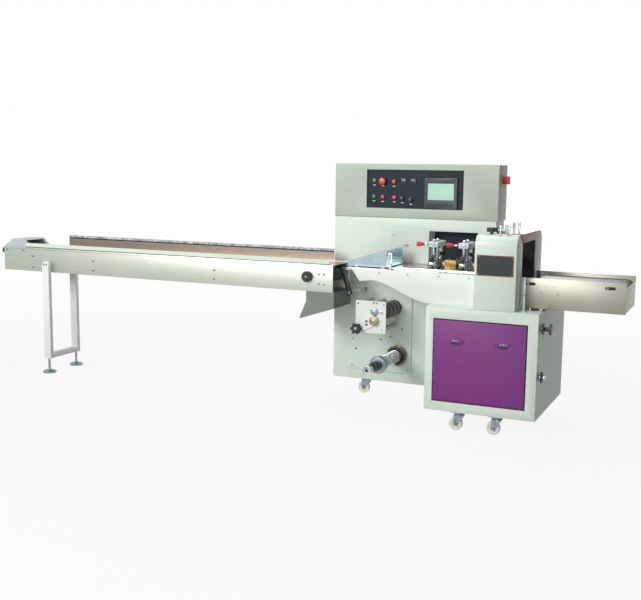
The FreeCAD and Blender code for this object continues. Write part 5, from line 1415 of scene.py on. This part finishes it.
@dataclass
class FilmUnit:
    """Reel shaft, rollers between two plates, the swing arm's fixings and the guide arm."""

    disc_places: tuple[tuple[float, float, float, float], ...] = ((120.0, 130.0, 22.0, 0.0),
                                                                  (121.0, 77.0, 28.0, 8.0))
    rod_places: tuple[tuple[float, float], ...] = ((18.0, 175.0), (96.5, 175.0), (18.0, 77.2))
    arm_holes: tuple[tuple[float, float], ...] = ((318.0, 521.0), (318.5, 501.0))
    plate_screws: tuple[tuple[float, float], ...] = ((360.0, 634.0), (380.0, 632.0), (262.0, 626.0),
                                                     (424.0, 626.0))
    column_holes: tuple[tuple[float, float], ...] = ((160.0, 302.0), (324.0, 373.0), (388.0, 396.0),
                                                     (460.0, 449.0))
    plate_t: float = 8.0
    flange_t: float = 14.0
    flange_r: float = 62.5
    flange_holes: int = 6
    hole_ring_r: float = 49.0
    sleeve_start: float = 22.0
    sleeve_ribs: int = 9
    sleeve_r: float = 38.0
    sleeve_root_r: float = 34.0
    rib_share: float = 0.72
    nose_length: float = 205.0
    knuckle: tuple[float, float] = (216.0, 685.0)
    arm_screws: tuple[tuple[float, float], ...] = ((166.0, 828.0), (172.0, 808.0))
    feed_bands: tuple[tuple[float, Stock], ...] = ((34.0, Stock.RUBBER), (12.0, Stock.ZINC),
                                                   (58.0, Stock.MAROON), (10.0, Stock.ZINC),
                                                   (46.0, Stock.MAROON), (12.0, Stock.ZINC),
                                                   (32.0, Stock.RUBBER))

    def build(self) -> None:
        """Makes every piece of the film unit."""
        self.make_discs()
        self.make_screws()
        self.make_feed_roller()
        self.make_reel()
        self.make_arm()
        self.make_star_knob()

    def make_discs(self) -> None:
        """Makes the distance rods and the two knurled discs in front of the plate."""
        plate = LAYOUT.of("roller_plate")
        back = LAYOUT.of("film_plate").y0
        face = plate.y1 - self.plate_t
        mould = Mould("tie_rods_finished")
        for dx, dz in self.rod_places:
            mould.rod((plate.x0 + dx, plate.y1, plate.z0 + dz), BACK, back - plate.y1, 8, Stock.CHROME)
        for (dx, dz, radius, stand), finish in zip(self.disc_places, (Stock.ZINC, Stock.BRONZE)):
            x, y, z = plate.x0 + dx, face - stand, plate.z0 + dz
            mould.rod((x, y, z), FRONT, 3.2, radius * 0.5, Stock.ZINC)
            mould.knurled((x, y - 3, z), FRONT, 9, radius, finish, 40)
            mould.rod((x, y - 12, z), FRONT, 6, radius * 0.35, Stock.CHROME, 28, 1.2)
            mould.bolt((x, y - 18, z), FRONT, radius * 0.4)
        mould.place("chrome", ["tie_rods"])

    def make_screws(self) -> None:
        """Adds screws, and holes in the plates drawn as zinc rings round black discs of painted shadow."""
        plate = LAYOUT.of("roller_plate")
        face = plate.y1 - self.plate_t
        mould = Mould("film_unit_screws")
        for x, z in self.plate_screws:
            mould.bolt((x, face, z), FRONT, 10.0)
        # Each hole is a zinc ring round a black disc: painted shadow inside the hole.
        for x, z in self.arm_holes:
            mould.stack((x, plate.y0, z), FRONT, ((0.8, 8.0, Stock.ZINC), (0.4, 6.2, Stock.SHADOW)), 0.1)
        back = LAYOUT.of("film_plate").y0
        for x, z in self.column_holes:
            mould.stack((x, back, z), FRONT, ((0.5, 7.0, Stock.ZINC), (0.4, 5.0, Stock.SHADOW)), 0.1)
        sheet = LAYOUT.of("film_plate")
        for x in (sheet.x0 + 22, sheet.x1 - 16):
            for z in (sheet.z0 + 22, sheet.z0 + 190):
                mould.bolt((x, back, z), FRONT, 9.0)
        mould.place("zinc")

    def make_feed_roller(self) -> None:
        """Makes the feed roller: bright shaft and a face of rubber bands."""
        span = LAYOUT.of("feed_roller")
        plate = LAYOUT.of("roller_plate")
        x, _, z = span.mid
        mould = Mould("feed_roller_finished", "feed_roller")
        mould.rod((x, span.y0, z), BACK, span.y1 - span.y0, 9, Stock.CHROME, 28, 1.2)
        bands = [(length, (span.z1 - span.z0) / 2, finish) for length, finish in self.feed_bands]
        mould.stack((x, plate.y1 + 5, z), BACK, bands, 1.2, 48)
        mould.place("roller_rubber", ["feed_roller"])

    def make_reel(self) -> None:
        """Makes the reel shaft: slotted flange, ribbed sleeve, disc, knurled collar and cap."""
        span = LAYOUT.of("reel_shaft")
        x, _, z = span.mid
        length = span.y1 - span.y0
        mould = Mould("reel_shaft_finished", "reel_shaft")

        def along(distance: float) -> Triple:
            """Gives the point this far in front of the shaft's back end."""
            return x, span.y1 - distance, z

        flange = ((6, 30, Stock.GUNMETAL), (8, self.flange_r, Stock.GUNMETAL))
        mould.stack(along(0), FRONT, flange, 1.0, 56)
        mould.ring(along(self.flange_t), FRONT, 58, 2.2, Stock.BRASS, 56, 8)
        # The flange's holes are thin black discs: painted shadow.
        for step in range(self.flange_holes):
            turn = math.radians(360 / self.flange_holes * step + 15)
            cx, cz = x + self.hole_ring_r * math.cos(turn), z + self.hole_ring_r * math.sin(turn)
            mould.rod((cx, span.y1 - self.flange_t, cz), FRONT, 0.5, 5, Stock.SHADOW, 16, 0.1)
        end = length - self.nose_length
        pitch = (end - self.sleeve_start) / self.sleeve_ribs
        high, low = self.sleeve_r, self.sleeve_root_r
        profile = [(self.sleeve_start, high)]
        for index in range(self.sleeve_ribs):
            at = self.sleeve_start + pitch * index
            edge = at + pitch * self.rib_share
            profile += [(at, high), (edge, high), (edge, low), (at + pitch, low)]
        profile += [(end, high), (end + 4, high)]
        mould.turned(profile, along(0), FRONT, Stock.CHROME, 56, 1.2)
        mould.rod(along(self.flange_t), FRONT, 10, high, Stock.CHROME, 56, 1.0)
        mould.turned(((0, 50), (2, 52), (28, 52), (34, 46)), along(end + 4), FRONT, Stock.ZINC, 56, 0.8)
        mould.knurled(along(end + 38), FRONT, 60, 29, Stock.BLACK, 44)
        mould.rod(along(end + 98), FRONT, 65.5, 27.5, Stock.GUNMETAL, 48, 1.0)
        mould.rod(along(length - 42), FRONT, 6.2, 25, Stock.ZINC, 40)
        mould.turned(((0, 29), (2, 30), (33, 30), (36, 27), (36, 9), (30, 7.5)), along(length - 36), FRONT,
                     Stock.CHROME, 56, 0.8)
        # The cap's bore is a thin black disc: painted shadow.
        mould.rod(along(length - 6.5), FRONT, 1.0, 7.4, Stock.SHADOW, 28, 0.2)
        mould.place("chrome", ["reel_shaft"])
        softened("reel_hub", Stock.GUNMETAL, "black_plastic", 1.2)

    def make_arm(self) -> None:
        """Rounds the guide arm and adds its clamp knuckle, bright bar and screws."""
        span = LAYOUT.of("film_guide_arm")
        mould = Mould("film_guide_arm_finished")
        mould.solid("film_guide_arm", Stock.GUNMETAL, 0.8)
        x, z = self.knuckle
        mould.knurled((x, span.y0, z), FRONT, 7, 15, Stock.BLACK, 24)
        mould.bolt((x, span.y0 - 7, z), FRONT, 9.0)
        mould.rod((x, span.y0 + 24, z), BACK, span.y1 - span.y0 - 40, 9.4, Stock.CHROME, 28)
        for x, z in self.arm_screws:
            mould.bolt((x, span.y0, z), FRONT, 8.0)
        mould.place("black_plastic", ["film_guide_arm"])

    def make_star_knob(self) -> None:
        """Rounds the star knob and adds its hub cap."""
        star = LAYOUT.of("film_star_knob")
        mould = Mould("film_star_knob_finished", "star_knob")
        mould.solid("film_star_knob", Stock.BLACK, 2.4, 3)
        mould.turned(((0, 9), (1.2, 9), (2, 7)), (star.mid[0], star.y0, star.mid[2]), FRONT, Stock.ZINC,
                     24)
        mould.place("black_plastic", ["film_star_knob"])


@dataclass
class SealTable:
    """The open fin-seal mechanism on the table, the former and the rails."""

    unit_places: tuple[float, ...] = (735.0, 912.0)
    lane: float = 290.0
    wheel_offset: float = 33.3
    base_t: float = 6.0
    base_half: float = 37.0
    bridge_z: float = 985.0
    bridge_t: float = 30.0
    wheel_top: float = 903.0
    post_offset: float = 92.0
    post_foot: float = 16.0
    clamp_half: float = 19.0
    clamp_z0: float = 930.0
    clamp_z1: float = 952.0
    bracket_offset: float = 70.0
    bracket_half: float = 10.0
    bracket_height: float = 78.0
    disc_height: float = 26.0
    knob_height: float = 58.0
    pocket_x0: float = 618.0
    pocket_x1: float = 914.0
    pocket_depth: float = 100.0
    fascia_screws: tuple[float, ...] = (470.0, 640.0, 820.0, 990.0)
    guard_screws: tuple[float, ...] = (28.0, 170.0)

    def build(self) -> None:
        """Makes the units, the former and the fittings round them."""
        table = LAYOUT.of("work_table").z1
        mould = Mould("seal_units_finished")
        for x in self.unit_places:
            self.add_base(mould, x, table)
            self.add_bridge(mould, x, table)
            self.add_spindles(mould, x)
            self.add_lever(mould, x)
            self.add_adjuster(mould, x, table)
        mould.place("chrome", ["seal_units"])
        self.make_heater()
        self.make_fittings(table)
        softened("former", Stock.FORMER, "former_steel", 0.4)
        softened("film_rails", Stock.CHROME, "stainless", 1.0)

    def add_base(self, mould: Mould, x: float, table: float) -> None:
        """Adds the ground base plates each side of the slot, and their screws.

        Args:
            mould: the piece that it goes into.
            x: the unit's place along the machine.
            table: the height of the table's top.
        """
        post_y = self.lane + self.post_offset
        for y0, y1 in ((self.lane - 78, self.lane - 8), (self.lane + 8, post_y + 24)):
            mould.block(x - self.base_half, x + self.base_half, y0, y1, table, table + self.base_t,
                        Stock.ZINC, 0.8)
            for side in (-1, 1):
                for y in (y0 + 10, y1 - 10):
                    mould.bolt((x + side * (self.base_half - 9), y, table + self.base_t), UP, 9.0)

    def add_bridge(self, mould: Mould, x: float, table: float) -> None:
        """Adds the rear post, its clamp and the enamelled bridge.

        Args:
            mould: the piece that it goes into.
            x: the unit's place along the machine.
            table: the height of the table's top.
        """
        post_y = self.lane + self.post_offset
        foot, half = self.post_foot, self.clamp_half
        post = ((foot, 18, Stock.ZINC), (self.bridge_z - table - foot, 11, Stock.CHROME))
        mould.stack((x, post_y, table), UP, post, 1.2)
        mould.block(x - half, x + half, post_y - 18, post_y + 18, self.clamp_z0, self.clamp_z1,
                    Stock.GUNMETAL, 1.4)
        mould.bolt((x - half, post_y, (self.clamp_z0 + self.clamp_z1) / 2), LEFT, 10.0)
        top = self.bridge_z + self.bridge_t
        front = self.lane - self.wheel_offset - 20
        mould.block(x - 28, x + 28, front, post_y + 18, self.bridge_z, top, Stock.WHITE, 4.0, 3)
        mould.block(x - 20, x + 20, front - 0.6, front, self.bridge_z + 5, top - 5, Stock.ZINC, 0.3, 1)
        for y in (post_y - 22, self.lane):
            mould.bolt((x, y, top), UP, 12.0, Stock.CHROME)
        mould.bolt((x, front, self.bridge_z + self.bridge_t / 2), FRONT, 9.0, Stock.CHROME)

    def add_spindles(self, mould: Mould, x: float) -> None:
        """Adds both sprung spindles with their collars, springs and knurled nuts.

        Args:
            mould: the piece that it goes into.
            x: the unit's place along the machine.
        """
        top = self.bridge_z + self.bridge_t
        for side in (-1, 1):
            y = self.lane + side * self.wheel_offset
            mould.rod((x, y, self.wheel_top + 0.3), UP, top + 16 - self.wheel_top - 0.3, 7, Stock.CHROME,
                      24, 1.2)
            mould.rod((x, y, self.wheel_top + 2), UP, 8, 15, Stock.BRASS, 32, 1.0)
            mould.rod((x, y, self.bridge_z - 8), UP, 8, 14, Stock.ZINC, 32, 1.0)
            mould.spring((x, y, self.wheel_top + 11), UP, self.bridge_z - self.wheel_top - 20, 12, 1.9, 8,
                         Stock.CHROME)
            mould.knurled((x, y, top + 1), UP, 9, 12, Stock.ZINC, 24)

    def add_lever(self, mould: Mould, x: float) -> None:
        """Adds the release lever with its red tapered grip.

        Args:
            mould: the piece that it goes into.
            x: the unit's place along the machine.
        """
        level = self.bridge_z + self.bridge_t / 2
        y = self.lane - self.wheel_offset - 12
        mould.rod((x - 28, y, level), LEFT, 36, 5, Stock.CHROME, 24, 0.8)
        mould.rod((x - 28, y, level), LEFT, 6, 10, Stock.GUNMETAL, 24, 1.0)
        mould.turned(((0, 6), (32, 13), (44, 14), (48, 11)), (x - 50, y, level), LEFT, Stock.GRIP, 36, 1.6)

    def add_adjuster(self, mould: Mould, x: float, table: float) -> None:
        """Adds the front bracket with its pressure screw, bright disc and black knob.

        Args:
            mould: the piece that it goes into.
            x: the unit's place along the machine.
            table: the height of the table's top.
        """
        y = self.lane - self.bracket_offset
        half, foot = self.bracket_half, table + self.base_t
        disc_z, knob_z = foot + self.disc_height, foot + self.knob_height
        mould.block(x - half, x + half, y - 4, y + 4, foot, foot + self.bracket_height, Stock.GUNMETAL, 1.0)
        mould.block(x - half, x + half, y + 3, y + 26, foot + 66, foot + 74, Stock.GUNMETAL, 0.8)
        mould.knurled((x, y - 4, disc_z), FRONT, 7, 14, Stock.CHROME, 28)
        mould.rod((x, y - 11, disc_z), FRONT, 6, 5, Stock.ZINC)
        mould.rod((x, y - 4, knob_z), FRONT, 12, 4, Stock.CHROME)
        mould.turned(((0, 6), (3, 9), (12, 9), (14, 7)), (x, y - 14, knob_z), FRONT, Stock.BLACK, 28, 0.8)

    def make_heater(self) -> None:
        """Makes the brass heater block with its joint line and screws."""
        span = LAYOUT.of("heater_block")
        mould = Mould("heater_block_finished")
        mould.solid("heater_block", Stock.BRASS, 1.0)
        for x in (span.x0 + 12, span.x1 - 12):
            for y in (span.y0 + 12, span.y1 - 12):
                mould.bolt((x, y, span.z1), UP, 9.0)
        for x in (span.x0 + 14, span.x1 - 14):
            mould.bolt((x, span.y0, span.z0 + 16), FRONT, 8.0)
        middle = (span.z0 + span.z1) / 2
        mould.block(span.x0 + 1, span.x1 - 1, span.y0 - 0.4, span.y0, middle - 0.6, middle + 0.6,
                    Stock.SHADOW, 0.0)
        mould.place("brass", ["heater_block"])

    def make_fittings(self, table: float) -> None:
        """Adds the dark back plate in the column's pocket and the screws along the table.

        Args:
            table: the height of the table's top.
        """
        pocket = Mould("pocket_back_plate")
        guard = LAYOUT.of("column_guard")
        back = guard.y1 + self.pocket_depth
        pocket.block(self.pocket_x0, self.pocket_x1, back, back + 4, table + 14, table + 194,
                     Stock.NAVY, 0.5, 1)
        pocket.place("panel_navy")
        screws = Mould("table_screws")
        front = LAYOUT.of("table_fascia").y0
        for x in self.fascia_screws:
            screws.bolt((x, front, table - 18), FRONT, 8.0)
        for rise in self.guard_screws:
            screws.bolt((guard.x0 + 22, guard.y0, table + rise), FRONT, 8.0, Stock.CHROME)
        screws.place("zinc")


@dataclass
class EndSeal:
    """End-seal housing: bare plate with its border, red hood, a mouth darkened with painted shade, posts and
    knob.
    """

    border: float = 3.5
    post_places: tuple[tuple[float, float], ...] = ((1165.0, 52.0), (1186.0, 96.0), (1213.0, 52.0),
                                                    (1226.0, 96.0), (1254.0, 96.0))

    def build(self) -> None:
        """Makes the housing's trim."""
        self.make_plate()
        self.make_mouth()
        softened("seal_guard", Stock.CRIMSON, "guard_red", 0.6)
        self.make_posts()
        self.make_knob()

    def make_posts(self) -> None:
        """Makes the posts and the hexagon nuts at their feet."""
        mould = Mould("post_nuts")
        base = LAYOUT.of("seal_posts").z0
        for x, y in self.post_places:
            mould.turned(((0, 10.5), (1.2, 10.5), (1.2, 9.6), (6, 9.6), (7, 8)), (x, y, base), UP,
                         Stock.ZINC, 6)
        mould.place("zinc")
        softened("seal_posts", Stock.CHROME, "chrome", 0.6)

    def make_knob(self) -> None:
        """Rounds the housing's knob and adds its hub cap."""
        knob = LAYOUT.of("shell_knob")
        mould = Mould("shell_knob_finished", "shell_knob")
        mould.solid("shell_knob", Stock.BLACK, 2.4, 3)
        mould.turned(((0, 9), (1.4, 9), (2.2, 6)), (knob.mid[0], knob.mid[1], knob.z1), UP, Stock.ZINC, 24)
        mould.place("black_plastic", ["shell_knob"])

    def make_plate(self) -> None:
        """Makes the bare plate with a raised gilt border and four rivets."""
        span = LAYOUT.of("name_plate")
        mould = Mould("name_plate_finished")
        mould.solid("name_plate", Stock.PLATE, 0.4)
        edge = self.border
        for x0, x1, z0, z1 in ((span.x0, span.x1, span.z0, span.z0 + edge),
                               (span.x0, span.x1, span.z1 - edge, span.z1),
                               (span.x0, span.x0 + edge, span.z0 + edge, span.z1 - edge),
                               (span.x1 - edge, span.x1, span.z0 + edge, span.z1 - edge)):
            mould.block(x0, x1, span.y0 - 0.6, span.y0 + 0.2, z0, z1, Stock.GILT, 0.25, 1)
        for x in (span.x0 + 9, span.x1 - 9):
            for z in (span.z0 + 9, span.z1 - 9):
                mould.rod((x, span.y0, z), FRONT, 0.9, 2.2, Stock.ZINC, 16, 0.3)
        mould.place("grey_sheet", ["name_plate"])

    def make_mouth(self) -> None:
        """Lines the two cheeks' inner faces with black sheets of painted shadow, and shows the darkened
        jaws.
        """
        front = LAYOUT.of("seal_shell_front")
        rear = LAYOUT.of("seal_shell_rear")
        mould = Mould("mouth_shadow_liners")
        # Black liners: painted shadow inside the sealing mouth.
        for y0, y1 in ((front.y1, front.y1 + 1.5), (rear.y0 - 1.5, rear.y0)):
            mould.block(front.x0 + 3, front.x1 - 3, y0, y1, front.z0 + 4, front.z1 - 8, Stock.SHADOW, 0.3, 1)
        mould.place("jaw_steel")
        softened("seal_jaws", Stock.JAW_PAINTED_SHADE, "jaw_steel", 1.0)


@dataclass
class Discharge:
    """Slots, screws and belt of the short discharge conveyor."""

    slots: tuple[tuple[float, float], ...] = ((1306.0, 1342.0), (1714.0, 1752.0))
    slot_z: float = 829.0
    slot_r: float = 8.0
    screws: tuple[tuple[float, float], ...] = ((1378.0, 789.0), (1467.0, 784.0), (1789.0, 752.0))

    def build(self) -> None:
        """Makes the slots, drawn as black plates of painted shadow, and screws on both sides, and the belt.
        """
        span = LAYOUT.of("discharge_sides")
        mould = Mould("discharge_fittings")
        for first, second in self.slots:
            # Each slot is a thin black plate on both faces: painted shadow in the opening.
            outline = obround(first, second, self.slot_z, self.slot_r)
            mould.plate(outline, Axis.Y, span.y0 - 0.3, span.y0 + 0.2, Stock.SHADOW, 0.0)
            mould.plate(outline, Axis.Y, span.y1 - 0.2, span.y1 + 0.3, Stock.SHADOW, 0.0)
            for y, axis in ((span.y0, FRONT), (span.y1, BACK)):
                mould.bolt((first + 6, y, self.slot_z), axis, 11.0)
        for x, z in self.screws:
            mould.bolt((x, span.y0, z), FRONT, 9.0)
            mould.bolt((x, span.y1, z), BACK, 9.0)
        mould.place("zinc")
        softened("discharge_belt", Stock.BELT, "belt_rubber", 0.8)


def main() -> None:
    """Builds the machine's finishes and detail, then the studio."""
    logging.basicConfig(level=logging.INFO, format="%(name)s: %(message)s")
    for node, finish in PLAIN_FINISHES.items():
        dress_node(node, finish)
    for group in (Housings(), ControlPanel(), MainSwitch(), Cabinet(), Infeed(),
                  FilmUnit(), SealTable(), EndSeal(), Discharge()):
        group.build()
        LOG.info("%s done", type(group).__name__)
    Studio().build()


if __name__ == "__main__":
    main()
